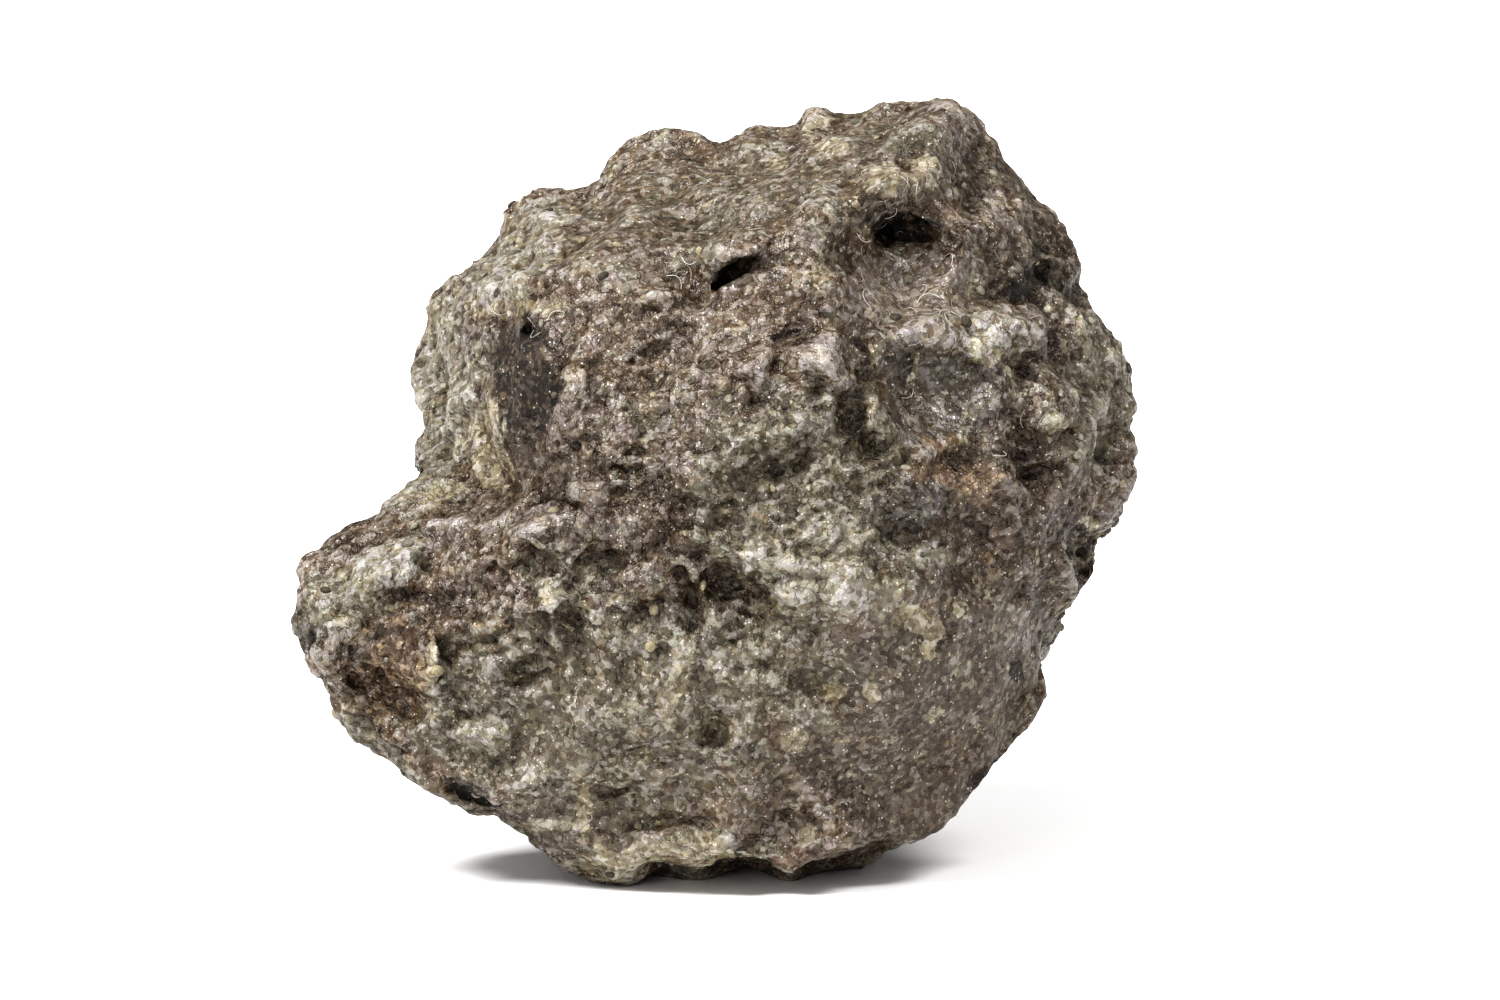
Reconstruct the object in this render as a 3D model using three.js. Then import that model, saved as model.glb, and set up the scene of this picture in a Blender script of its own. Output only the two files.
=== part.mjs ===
// A chondrite meteorite: one weathered stone, thumb-printed by its fall, standing on a small flat spot.
// Sizes are millimetres and +Z is up. The origin is on the resting surface, under the middle of the stone.
//
// The stone is laid out as it is seen from its front by an eye a little above it. There a place is
// [across, up] from the middle of the face, and depth is measured away from the eye: the front of the
// stone has depths below zero. Angles go round the face, anticlockwise from its right.
import * as THREE from "three";
import { mergeVertices } from "three/addons/utils/BufferGeometryUtils.js";

// Driving sizes
const FRONT_SWELL = 16.5; // how far the front would stand out if no face were broken off it
const BACK_SWELL = 15.5; // the same for the back
const FACE_MIDDLE_HEIGHT = 17.1; // height of the middle of the face above the resting surface
const EYE_DISTANCE = 350;
const EYE_LIFT = THREE.MathUtils.degToRad(8); // how far the eye looks down
const FRONT_SQUARENESS = 7; // how late the front turns over at its edge: 2 would be as a ball does
const BACK_SQUARENESS = 3.5;
const EDGE_BULGE = 9; // how steeply the stone swells from its rim, as the half axis of a ball
const EDGE_DEPTH = 3.6; // and how far from the rim it swells at least
const KNOB_HEIGHT = 0.35; // how far the knobs on the outline stand out from the stone behind them
const EDGE_SPLITS = 21; // splits of each edge of an icosahedron, for triangles of about 1 mm
const FRONT_CROWDING = 0.18; // how much finer the front is split than the back

const STONE_BROWN = 0x77706a;
const STONE_ROUGHNESS = 0.78;

// The stone's outline, from the left tip up and round, clockwise
const OUTLINE = [
  [-20.8, -6.2], [-20.4, -4.7], [-20.3, -2.9], [-19.1, -2.0], [-17.9, -1.1], [-16.9, -0.7],
  [-16.0, 0.1], [-14.8, 1.0], [-15.0, 2.4], [-14.4, 3.8], [-15.3, 5.8], [-14.4, 8.3],
  [-14.2, 9.4], [-12.6, 10.8], [-11.1, 12.5], [-10.1, 13.8], [-9.0, 14.5], [-6.6, 14.9],
  [-5.1, 16.7], [-3.5, 17.5], [-1.9, 17.4], [-0.4, 16.8], [1.2, 17.4], [3.2, 17.5],
  [3.6, 18.5], [5.6, 18.2], [7.3, 18.8], [9.4, 18.9], [11.9, 17.9], [13.1, 15.9],
  [14.5, 14.2], [16.7, 11.1], [16.6, 10.3], [17.3, 9.5], [18.5, 6.7], [19.2, 4.6],
  [19.0, 3.5], [19.2, 2.8], [18.9, 0.6], [17.8, -1.4], [17.2, -1.9], [17.2, -3.5],
  [16.0, -5.5], [14.8, -7.8], [14.9, -9.2], [13.2, -11.7], [11.3, -14.0], [9.7, -15.7],
  [7.5, -16.5], [6.1, -17.4], [4.0, -17.8], [3.0, -18.5], [1.4, -17.6], [0.5, -17.4],
  [-1.4, -18.1], [-3.8, -17.9], [-4.8, -18.4], [-7.3, -17.5], [-9.2, -16.3], [-11.1, -15.0],
  [-12.7, -14.5], [-15.9, -12.6], [-17.8, -11.2], [-19.2, -9.0],
];

// Depth of the rim at angles round the face, in degrees: the left lobe comes forward, the crown leans back
const RIM_DEPTHS = [
  [0, 1], [30, 3], [60, 4], [90, 4.5], [120, 5], [150, 4.5], [168, 2.5], [186, -3.5],
  [204, -5], [235, -5], [270, -5.5], [290, -5], [315, -2.5], [340, -0.5],
];

// Broken faces: each passes through a place at a depth, deepens by so much per mm across and up, and
// meets the others with a rounding of some mm
const FRONT_FACES = [
  { place: [-15, -8], depth: -7.2, slope: [-0.55, 0.05], rounding: 4 }, // left, towards the lobe
  { place: [15, 0], depth: -5.5, slope: [0.75, 0.1], rounding: 5 }, // right
  { place: [0, 10], depth: -9.6, slope: [0.08, 0.3], rounding: 4 }, // under the brow
  { place: [0, -17], depth: -7.5, slope: [0.05, -0.62], rounding: 6 }, // down to the foot
  { place: [-4.2, 11.2], depth: -8.8, slope: [-0.5, 2.1], rounding: 0.9 }, // top, leaning back from the brow
  { place: [12.5, 14], depth: -4.5, slope: [1.3, 0.9], rounding: 2 }, // right shoulder
];
const BACK_FACES = [
  { place: [0, 9], depth: 12.5, slope: [0.15, -0.75], rounding: 1.5 }, // upper back
  { place: [-8, 0], depth: 11, slope: [0.85, 0.1], rounding: 2 }, // left back
  { place: [10, -2], depth: 12, slope: [-0.7, 0.15], rounding: 1.5 }, // right back
  { place: [0, -10], depth: 13, slope: [-0.1, 0.35], rounding: 2.5 }, // lower back
];

// The notch in the left flank is cut to its own dark wall and the pale flank behind that, but not below the
// top of the left lobe
const NOTCH_WALLS = [
  { place: [-8, 5], depth: -9.8, slope: [-1.35, -0.15] }, // dark wall
  { place: [-12.1, 5], depth: -4.4, slope: [-3.2, -0.35] }, // pale flank
];
const LOBE_TOP = { place: [-13.2, -0.6], depth: -6.6, slope: [-0.7, 2.6] };

// Hollows and mounds on the front: place, half sizes, turn in degrees, and height (below zero for a hollow)
const FRONT_RELIEF = [
  { place: [-10.6, 9.9], half: [2.6, 1.2], turn: 4, height: 1.0 }, // pale rim over the wall
  { place: [-6.9, 4.6], half: [1.2, 4.8], turn: -2, height: 0.8 }, // upright edge right of the dark wall
  { place: [8.1, 11.0], half: [4.3, 3.9], turn: -10, height: -2.4 }, // thumbprint below the crown
  { place: [8.1, 12.7], half: [2.1, 1.3], turn: -6, height: -2.8 }, // the pit in it
  { place: [7.4, 14.6], half: [3.2, 1.1], turn: 8, height: 1.0 }, // brow over the pit
  { place: [10.8, 11.2], half: [0.9, 3.4], turn: -32, height: 0.8 }, // edge right of the thumbprint
  { place: [0.4, 10.5], half: [1.5, 0.8], turn: 12, height: -1.8 }, // slit pit
  { place: [0.6, 11.7], half: [2.6, 0.8], turn: 14, height: 0.7 },
  { place: [-3.4, 10.0], half: [2.6, 1.1], turn: 12, height: 0.6 },
  { place: [14.4, 10.5], half: [2.4, 1.4], turn: -8, height: -2.0 }, // crevice under the right shoulder
  { place: [13.5, 8.3], half: [2.8, 2.2], turn: 0, height: 1.3 }, // pale knob on the right lobe
  { place: [15.0, 4.6], half: [2.2, 2.4], turn: 0, height: 0.9 },
  { place: [16.2, 3.4], half: [3.2, 5.0], turn: 0, height: 1.3 }, // right lobe
  { place: [9.2, 5.0], half: [3.6, 2.8], turn: -15, height: -1.3 }, // smooth slab
  { place: [5.6, 5.2], half: [1.2, 2.8], turn: -12, height: -1.5 }, // gully left of the slab
  { place: [4.3, 6.2], half: [1.9, 2.0], turn: 0, height: 1.2 }, // knob left of the gully
  { place: [3.0, 7.8], half: [1.7, 1.1], turn: 10, height: -1.0 },
  { place: [1.0, 6.0], half: [1.7, 1.2], turn: -20, height: 0.7 },
  { place: [-2.5, 7.2], half: [2.0, 1.0], turn: 12, height: -0.7 },
  { place: [8.5, 0.3], half: [1.8, 1.7], turn: 0, height: 1.1 }, // dark knob on the right face
  { place: [6.4, 2.4], half: [1.6, 1.0], turn: 30, height: -0.8 },
  { place: [10.6, 1.6], half: [1.7, 1.2], turn: 0, height: -0.8 },
  { place: [3.2, 1.8], half: [2.2, 1.2], turn: 25, height: -0.7 },
  { place: [0.2, -3.8], half: [1.8, 1.3], turn: 10, height: -1.4 }, // hollow at the middle
  { place: [-1.9, -5.2], half: [1.0, 2.4], turn: 8, height: -1.2 },
  { place: [-1.6, -1.6], half: [2.4, 1.2], turn: -15, height: 0.8 },
  { place: [-4.4, 0.8], half: [2.0, 1.2], turn: 20, height: -0.7 },
  { place: [3.6, -4.6], half: [2.6, 1.6], turn: 28, height: 0.7 },
  { place: [-3.0, -8.4], half: [0.8, 2.2], turn: -14, height: 0.7 }, // upright ridge at the middle
  { place: [-4.7, -8.0], half: [1.1, 2.2], turn: -10, height: -0.9 },
  { place: [-8.2, -4.7], half: [1.6, 1.3], turn: 0, height: 1.2 }, // pale knob
  { place: [-6.4, -2.6], half: [1.7, 1.1], turn: 15, height: -0.8 },
  { place: [-9.5, -1.6], half: [2.8, 1.1], turn: 24, height: 1.2 }, // bar under the notch
  { place: [-11.9, -4.4], half: [1.6, 1.4], turn: 0, height: -0.8 },
  { place: [-15.9, -8.4], half: [2.5, 2.8], turn: 20, height: -2.0 }, // rusty thumbprint on the lobe
  { place: [-13.9, -7.6], half: [0.9, 2.4], turn: -6, height: 1.0 }, // its right edge
  { place: [-16.4, -3.4], half: [2.6, 1.6], turn: 25, height: 1.1 }, // crest of the lobe
  { place: [-18.2, -6.2], half: [1.2, 1.2], turn: 0, height: 0.6 },
  { place: [-11.6, -11.2], half: [1.8, 1.4], turn: 0, height: 0.9 },
  { place: [-9.4, -13.2], half: [1.4, 1.1], turn: 0, height: 0.6 },
  { place: [-9.8, -8.2], half: [1.8, 1.3], turn: 25, height: -1.0 },
  { place: [-6.8, -10.4], half: [1.5, 2.0], turn: 15, height: 0.8 },
  { place: [-5.4, -12.9], half: [2.0, 1.2], turn: -10, height: -0.9 },
  { place: [-0.6, -10.6], half: [1.6, 1.2], turn: 0, height: -0.8 },
  { place: [1.6, -13.0], half: [2.0, 1.3], turn: 15, height: 0.6 },
  { place: [4.8, -8.8], half: [2.2, 1.4], turn: -20, height: -0.7 },
  { place: [8.6, -4.4], half: [2.0, 1.2], turn: 8, height: 0.7 },
  { place: [11.6, -3.0], half: [1.4, 2.4], turn: -10, height: -0.8 },
  { place: [-12.0, -13.9], half: [2.6, 1.0], turn: -28, height: -1.4 }, // dark underside of the lobe
  { place: [-2.3, -16.6], half: [4.4, 1.4], turn: 0, height: 1.3 }, // pale lip over the foot
  { place: [16.6, -3.2], half: [1.2, 2.2], turn: 4, height: -2.0 }, // three scoops behind the right edge
  { place: [14.0, -9.9], half: [1.3, 2.7], turn: -24, height: -1.8 },
  { place: [12.2, -13.0], half: [1.0, 2.3], turn: -48, height: -1.6 },
  { place: [-9.4, 13.2], half: [1.6, 1.2], turn: 30, height: 0.7 }, // knobs along the top facet
  { place: [-6.6, 15.8], half: [2.6, 1.0], turn: 20, height: 0.8 },
  { place: [1.0, 15.4], half: [2.4, 0.9], turn: 10, height: -0.8 },
  { place: [9.6, 17.2], half: [3.8, 1.6], turn: 0, height: 1.2 }, // crown
];

// Where the crust is smooth the uneven lumps are low: place and half sizes, and the share of them left
const SMOOTH_PATCHES = [
  { place: [10.2, -9.5], half: [7.5, 8], share: 0.3 },
  { place: [9.2, 5.2], half: [3.4, 3], share: 0.3 },
  { place: [9.0, 10.6], half: [3, 2.6], share: 0.4 },
];

// Thumbprints and knobs on the back and sides: direction from the stone's middle, reach as a share of
// the stone's half size, and height
const BACK_RELIEF = [
  { toward: [0.35, 0.85, 0.45], reach: 0.42, height: -2.6 },
  { toward: [-0.45, 0.85, 0.15], reach: 0.4, height: -2.4 },
  { toward: [0.1, 0.95, -0.35], reach: 0.36, height: -2.0 },
  { toward: [-0.2, 0.6, 0.8], reach: 0.34, height: -1.9 },
  { toward: [0.8, 0.6, -0.2], reach: 0.34, height: -1.9 },
  { toward: [0.75, 0.45, 0.5], reach: 0.26, height: -1.3 },
  { toward: [-0.7, 0.6, -0.45], reach: 0.32, height: -1.7 },
  { toward: [-0.85, 0.45, 0.3], reach: 0.24, height: -1.2 },
  { toward: [0.6, 0.7, 0.15], reach: 0.22, height: -1.1 },
  { toward: [-0.1, 0.95, 0.3], reach: 0.2, height: 1.1 },
  { toward: [0.5, 0.85, -0.05], reach: 0.18, height: 0.9 },
  { toward: [-0.4, 0.85, -0.35], reach: 0.2, height: 1.1 },
  { toward: [0.45, 0.6, -0.65], reach: 0.24, height: 0.9 },
  { toward: [0.05, 0.45, -0.9], reach: 0.55, height: 4.2 }, // the foot's heel
];

// Uneven lumps all over, the larger ones first: wavelength and height. The ridged ones are hollows with
// sharper ridges between them.
const LUMPS = [
  { size: 9, height: 1.8 },
  { size: 5.2, height: 2.0, ridged: true },
  { size: 2.6, height: 1.0 },
];
const LUMP_SEED = 7;

const smoothstep = THREE.MathUtils.smoothstep;

// The larger of two depths, with their meeting rounded over a width
function roundedMax(a, b, width) {
  const near = Math.max(width - Math.abs(a - b), 0) / width;
  return Math.max(a, b) + (near * near * width) / 4;
}

function roundedMin(a, b, width) {
  return -roundedMax(-a, -b, width);
}

function faceDepth(face, across, up) {
  return face.depth + face.slope[0] * (across - face.place[0]) + face.slope[1] * (up - face.place[1]);
}

// A smooth closed curve through [angle, value] stations, in degrees
function aroundCurve(stations) {
  const sorted = [...stations].sort((a, b) => a[0] - b[0]);
  const count = sorted.length;
  const at = (i) => {
    const turns = Math.floor(i / count);
    const [angle, value] = sorted[i - turns * count];
    return [angle + 360 * turns, value];
  };
  return (angle) => {
    const turned = THREE.MathUtils.euclideanModulo(angle - sorted[0][0], 360) + sorted[0][0];
    let i = 0;
    while (i < count - 1 && at(i + 1)[0] <= turned) i += 1;
    const [a0, v0] = at(i - 1);
    const [a1, v1] = at(i);
    const [a2, v2] = at(i + 1);
    const [a3, v3] = at(i + 2);
    const span = a2 - a1;
    const t = (turned - a1) / span;
    const leave = ((v2 - v0) / (a2 - a0)) * span;
    const arrive = ((v3 - v1) / (a3 - a1)) * span;
    const t2 = t * t;
    const t3 = t2 * t;
    return v1 * (2 * t3 - 3 * t2 + 1) + leave * (t3 - 2 * t2 + t) + v2 * (3 * t2 - 2 * t3) + arrive * (t3 - t2);
  };
}

const degrees = (across, up) => THREE.MathUtils.radToDeg(Math.atan2(up, across));
const outlineReach = aroundCurve(OUTLINE.map(([x, z]) => [degrees(x, z), Math.hypot(x, z)]));
const rimDepth = aroundCurve(RIM_DEPTHS);

// The outline without its knobs and notches: an average over a stretch of the rim, drawn in a little
function easedReach(angle) {
  const steps = 6;
  const stepDegrees = 3;
  let sum = 0;
  let weights = 0;
  for (let k = -steps; k <= steps; k += 1) {
    const weight = 1 - Math.abs(k) / (steps + 1);
    sum += weight * outlineReach(angle + k * stepDegrees);
    weights += weight;
  }
  return sum / weights - KNOB_HEIGHT;
}

// A repeatable number from -1 to 1 for each corner of a cubic lattice and each axis
function latticeSlope(x, y, z, axis) {
  let h = Math.imul(x, 374761393) + Math.imul(y, 668265263) + Math.imul(z, 1274126177);
  h = (h + Math.imul(axis + LUMP_SEED, 974634777)) >>> 0;
  h = Math.imul(h ^ (h >>> 13), 1103515245) >>> 0;
  h = Math.imul(h ^ (h >>> 15), 668265263) >>> 0;
  return ((h ^ (h >>> 14)) >>> 8) / 8388608 - 1;
}

// Gradient noise from about -1 to 1
function lumpNoise(x, y, z) {
  const [ix, iy, iz] = [Math.floor(x), Math.floor(y), Math.floor(z)];
  const ease = (t) => t * t * t * (t * (t * 6 - 15) + 10);
  const [fx, fy, fz] = [x - ix, y - iy, z - iz];
  let sum = 0;
  for (let corner = 0; corner < 8; corner += 1) {
    const [cx, cy, cz] = [corner & 1, (corner >> 1) & 1, corner >> 2];
    const weight =
      (cx ? ease(fx) : 1 - ease(fx)) * (cy ? ease(fy) : 1 - ease(fy)) * (cz ? ease(fz) : 1 - ease(fz));
    const slope = [0, 1, 2].map((axis) => latticeSlope(ix + cx, iy + cy, iz + cz, axis));
    sum += weight * (slope[0] * (fx - cx) + slope[1] * (fy - cy) + slope[2] * (fz - cz));
  }
  return sum;
}

function lumpHeight(x, y, z) {
  let sum = 0;
  for (const { size, height, ridged } of LUMPS) {
    const noise = lumpNoise(x / size, y / size, z / size);
    sum += height * (ridged ? 0.3 - Math.abs(noise) : noise);
  }
  return sum;
}

// Height of the mounds and hollows together at a place on the face
function reliefHeight(across, up) {
  let sum = 0;
  for (const { place, half, turn, height } of FRONT_RELIEF) {
    const angle = THREE.MathUtils.degToRad(turn);
    const [dx, dz] = [across - place[0], up - place[1]];
    const along = (dx * Math.cos(angle) + dz * Math.sin(angle)) / half[0];
    const aside = (dz * Math.cos(angle) - dx * Math.sin(angle)) / half[1];
    const share = along * along + aside * aside;
    if (share < 1) sum += height * (1 - share) ** 2;
  }
  return sum;
}

// The share of the lumps left at a place on the face
function roughShare(across, up) {
  let rough = 1;
  for (const { place, half, share } of SMOOTH_PATCHES) {
    const apart = Math.hypot((across - place[0]) / half[0], (up - place[1]) / half[1]);
    rough *= THREE.MathUtils.lerp(share, 1, smoothstep(apart, 0.6, 1));
  }
  return rough;
}

// The depth of the broken front at a place, before its edges are rounded over
function frontDepth(across, up, swell) {
  let depth = -FRONT_SWELL * swell;
  for (const face of FRONT_FACES) depth = roundedMax(depth, faceDepth(face, across, up), face.rounding);
  const [dark, pale] = NOTCH_WALLS.map((wall) => faceDepth(wall, across, up));
  const notch = roundedMin(roundedMax(dark, pale, 0.4), faceDepth(LOBE_TOP, across, up), 1);
  return roundedMax(depth, notch, 0.8);
}

function backDepth(across, up, swell) {
  let depth = BACK_SWELL * swell;
  for (const face of BACK_FACES) depth = roundedMin(depth, faceDepth(face, across, up), face.rounding);
  return depth;
}

// Thumbprints and knobs that stand along a direction of the back or sides
function backRelief(direction) {
  let height = 0;
  for (const { toward, reach, height: tall } of BACK_RELIEF) {
    const apart = direction.distanceTo(new THREE.Vector3(...toward).normalize()) / reach;
    if (apart < 1) height += tall * (1 - apart * apart) ** 2;
  }
  return height * smoothstep(direction.y, -0.05, 0.2);
}

// Where a direction from the stone's middle meets its surface, as [across, up, depth]. The face's edge
// is where the direction lies in the plane of the outline, and both sides leave it squarely.
function unevenSurface(direction) {
  const { x, y, z } = direction;
  const outward = Math.min(Math.hypot(x, z), 1);
  const angle = degrees(x, z);
  const knobs = (outlineReach(angle) - easedReach(angle)) * (1 - smoothstep(Math.abs(y), 0.04, 0.3));
  const reach = easedReach(angle) + knobs;
  const [across, up] = [reach * x, reach * z];
  const rim = rimDepth(angle);
  const front = y < 0;
  const swell = Math.sqrt(1 - outward * outward);
  const face = front ? frontDepth(across, up, swell) : backDepth(across, up, swell);
  const squareness = front ? FRONT_SQUARENESS : BACK_SQUARENESS;
  const away = front ? -1 : 1; // which way the stone stands out from its rim
  const cut = away * (THREE.MathUtils.lerp(rim, face, Math.sqrt(1 - outward ** squareness)) - rim);
  const bulge = EDGE_DEPTH * (1 - Math.exp((-EDGE_BULGE * swell) / EDGE_DEPTH));
  const offRim = smoothstep(swell, 0, 0.4);
  const relief = front ? offRim * reliefHeight(across, up) : 0;
  const depth = rim + away * (roundedMax(cut, bulge, swell + 0.01) + relief);
  const rough = front ? roughShare(across, up) : 1;
  const height = rough * lumpHeight(across, up, depth) + backRelief(direction);
  return [across + height * x, up + height * z, depth + height * y];
}

// How much the uneven stone falls short of its outline, at angles round the face
function outlineMiss() {
  const stations = [];
  for (let angle = -180; angle < 180; angle += 2) {
    const [x, z] = [Math.cos(THREE.MathUtils.degToRad(angle)), Math.sin(THREE.MathUtils.degToRad(angle))];
    let widest = 0;
    for (let y = -0.6; y <= 0.6; y += 0.025) {
      const flat = Math.sqrt(1 - y * y);
      const [across, up] = unevenSurface(new THREE.Vector3(x * flat, y, z * flat));
      widest = Math.max(widest, Math.hypot(across, up));
    }
    stations.push([angle, outlineReach(angle) - widest]);
  }
  return aroundCurve(stations);
}
const miss = outlineMiss();

// From the eye's view to the stone's own frame: what is farther away is spread by the eye's perspective
function viewToStone([across, up, depth]) {
  const spread = 1 + depth / EYE_DISTANCE;
  const [sin, cos] = [Math.sin(EYE_LIFT), Math.cos(EYE_LIFT)];
  return new THREE.Vector3(
    across * spread,
    depth * cos + up * spread * sin,
    FACE_MIDDLE_HEIGHT + up * spread * cos - depth * sin,
  );
}

function surfacePoint(direction) {
  const [across, up, depth] = unevenSurface(direction);
  const angle = degrees(across, up);
  const radius = Math.hypot(across, up);
  const share = smoothstep(radius / (outlineReach(angle) - miss(angle)), 0.8, 1);
  const grown = 1 + (miss(angle) * share) / Math.max(radius, 1);
  return viewToStone([across * grown, up * grown, depth]);
}

function stoneGeometry() {
  const ball = new THREE.IcosahedronGeometry(1, EDGE_SPLITS - 1);
  ball.deleteAttribute("normal");
  ball.deleteAttribute("uv");
  const stone = mergeVertices(ball, 1e-5);
  const places = stone.getAttribute("position");
  for (let i = 0; i < places.count; i += 1) {
    const direction = new THREE.Vector3().fromBufferAttribute(places, i);
    direction.y -= FRONT_CROWDING;
    const point = surfacePoint(direction.normalize());
    point.z = Math.max(point.z, 0); // worn flat where it rests
    places.setXYZ(i, point.x, point.y, point.z);
  }
  stone.computeBoundingBox();
  const middle = stone.boundingBox.getCenter(new THREE.Vector3());
  stone.translate(-middle.x, -middle.y, 0);
  stone.computeVertexNormals();
  return stone;
}

const meteorite = new THREE.Mesh(
  stoneGeometry(),
  new THREE.MeshStandardMaterial({ color: STONE_BROWN, roughness: STONE_ROUGHNESS, metalness: 0 }),
);
meteorite.name = "meteorite";

const group = new THREE.Group();
group.add(meteorite);
export default group;
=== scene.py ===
"""A weathered chondrite meteorite, standing on a pale table in soft light.

The stone is laid out as it is seen from its front. There a place is [across, up] in millimetres from the
middle of the face, and depth is measured away from the eye: the front of the stone has depths below zero.
Its form is the same as the part's own solid, with finer relief laid over it.
"""

import logging
import math
from dataclasses import dataclass, field
from enum import Enum

import bpy
import numpy as np
from mathutils import Matrix, Vector


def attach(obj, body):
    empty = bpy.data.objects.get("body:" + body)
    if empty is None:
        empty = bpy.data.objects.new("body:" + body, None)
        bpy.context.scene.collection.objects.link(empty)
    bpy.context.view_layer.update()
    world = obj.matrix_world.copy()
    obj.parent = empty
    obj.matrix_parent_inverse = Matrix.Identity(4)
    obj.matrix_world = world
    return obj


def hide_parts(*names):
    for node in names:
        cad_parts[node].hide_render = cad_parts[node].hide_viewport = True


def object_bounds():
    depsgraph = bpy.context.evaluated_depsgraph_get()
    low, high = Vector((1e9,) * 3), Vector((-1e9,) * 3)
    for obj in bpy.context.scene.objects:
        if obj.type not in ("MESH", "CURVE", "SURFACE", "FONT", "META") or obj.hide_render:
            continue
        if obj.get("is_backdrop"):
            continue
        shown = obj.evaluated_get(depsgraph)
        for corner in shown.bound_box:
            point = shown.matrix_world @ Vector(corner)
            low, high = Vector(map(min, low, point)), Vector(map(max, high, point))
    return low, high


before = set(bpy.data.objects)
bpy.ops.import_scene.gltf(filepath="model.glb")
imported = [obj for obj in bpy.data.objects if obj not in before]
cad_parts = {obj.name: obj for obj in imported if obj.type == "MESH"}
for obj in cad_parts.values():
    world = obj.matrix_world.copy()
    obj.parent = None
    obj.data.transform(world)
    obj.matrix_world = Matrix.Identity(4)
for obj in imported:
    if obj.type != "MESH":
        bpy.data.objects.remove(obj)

log = logging.getLogger("meteorite")

MM = 0.001
Array = np.ndarray
Place = tuple[float, float]
Rgb = tuple[int, int, int]
Rgba = tuple[float, float, float, float]
Socket = bpy.types.NodeSocket
Inputs = dict[int | str, object]

IMAGE_WIDTH = 1500.0  # the image that the camera is set for, in pixels
SENSOR_MM = 36.0
PIXELS_PER_MM = 21.2
EYE_DISTANCE = 350.0  # mm from the middle of the face
EYE_LIFT = math.radians(8.0)  # how far the eye looks down
VIEW_SHIFT = 0.94  # mm that the view's middle lies right of the face's middle
LAMP_GAIN = 1.65  # how much brighter than its own colour a face of the stone looks in the studio


def smoothstep(value: Array, low: float, high: float) -> Array:
    """Ease values from 0 at a low limit to 1 at a high one.

    Args:
        value: The values.
        low: Where the result leaves 0.
        high: Where the result reaches 1.

    Returns:
        The eased share, from 0 to 1.
    """
    share = np.clip((value - low) / (high - low), 0.0, 1.0)
    return share * share * (3.0 - 2.0 * share)


def rounded_max(a: Array, b: Array, width: Array | float) -> Array:
    """Take the larger of two depths, with their meeting rounded.

    Args:
        a: The first depths.
        b: The second depths.
        width: How far apart the depths are where the rounding ends.

    Returns:
        The rounded larger depths.
    """
    near = np.maximum(width - np.abs(a - b), 0.0) / width
    return np.maximum(a, b) + near * near * width / 4.0


def rounded_min(a: Array, b: Array, width: Array | float) -> Array:
    """Take the smaller of two depths, with their meeting rounded."""
    return -rounded_max(-a, -b, width)


def angle_of(across: Array, up: Array) -> Array:
    """Give the angle round the face, in degrees, anticlockwise from its right."""
    return np.degrees(np.arctan2(up, across))


class LatticeNoise:
    """Repeatable noise from whole-number hashes of a cubic lattice."""

    def __init__(self, seed: int) -> None:
        """Keep the seed that sets this noise apart from others."""
        self.seed = seed

    def _hash(self, x: Array, y: Array, z: Array, channel: int) -> Array:
        """Hash lattice corners.

        Args:
            x: Whole x numbers, as 64-bit integers.
            y: Whole y numbers.
            z: Whole z numbers.
            channel: Sets apart several numbers of one corner.

        Returns:
            Numbers from -1 to 1.
        """
        with np.errstate(over="ignore"):
            h = x.astype(np.uint32) * np.uint32(374761393)
            h += y.astype(np.uint32) * np.uint32(668265263)
            h += z.astype(np.uint32) * np.uint32(1274126177)
            h += np.uint32((channel + self.seed) * 974634777 & 0xFFFFFFFF)
            h = (h ^ (h >> np.uint32(13))) * np.uint32(1103515245)
            h = (h ^ (h >> np.uint32(15))) * np.uint32(668265263)
        return ((h ^ (h >> np.uint32(14))) >> np.uint32(8)) / 8388608.0 - 1.0

    def smooth(self, points: Array) -> Array:
        """Give gradient noise, from about -1 to 1.

        Args:
            points: Points as rows, in lattice units.

        Returns:
            One value for each point.
        """
        corner = np.floor(points).astype(np.int64)
        inside = points - corner
        eased = inside**3 * (inside * (inside * 6.0 - 15.0) + 10.0)
        total = np.zeros(len(points))
        for index in range(8):
            step = np.array([index & 1, (index >> 1) & 1, index >> 2])
            weight = np.prod(np.where(step == 1, eased, 1.0 - eased), axis=1)
            at = corner + step
            gap = inside - step
            slope = [self._hash(at[:, 0], at[:, 1], at[:, 2], axis) for axis in range(3)]
            total += weight * (slope[0] * gap[:, 0] + slope[1] * gap[:, 1] + slope[2] * gap[:, 2])
        return total

    def cells(self, points: Array) -> "CellHit":
        """Find the nearest scattered seed points, one in each lattice cell.

        Args:
            points: Points as rows, in lattice units.

        Returns:
            What was found at each point.
        """
        corner = np.floor(points).astype(np.int64)
        nearest = np.full(len(points), 9.0)
        second = np.full(len(points), 9.0)
        kind = np.zeros(len(points))
        offset = np.zeros((len(points), 3))
        for index in range(27):
            at = corner + np.array([index % 3 - 1, index // 3 % 3 - 1, index // 9 - 1])
            jitter = [self._hash(at[:, 0], at[:, 1], at[:, 2], axis) for axis in range(3)]
            gap = points - (at + 0.5 + 0.45 * np.stack(jitter, axis=1))
            apart = np.linalg.norm(gap, axis=1)
            closer = apart < nearest
            second = np.where(closer, nearest, np.minimum(second, apart))
            kind = np.where(closer, self._hash(at[:, 0], at[:, 1], at[:, 2], 3), kind)
            offset[closer] = gap[closer]
            nearest = np.where(closer, apart, nearest)
        return CellHit(nearest, second, kind, offset)


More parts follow.
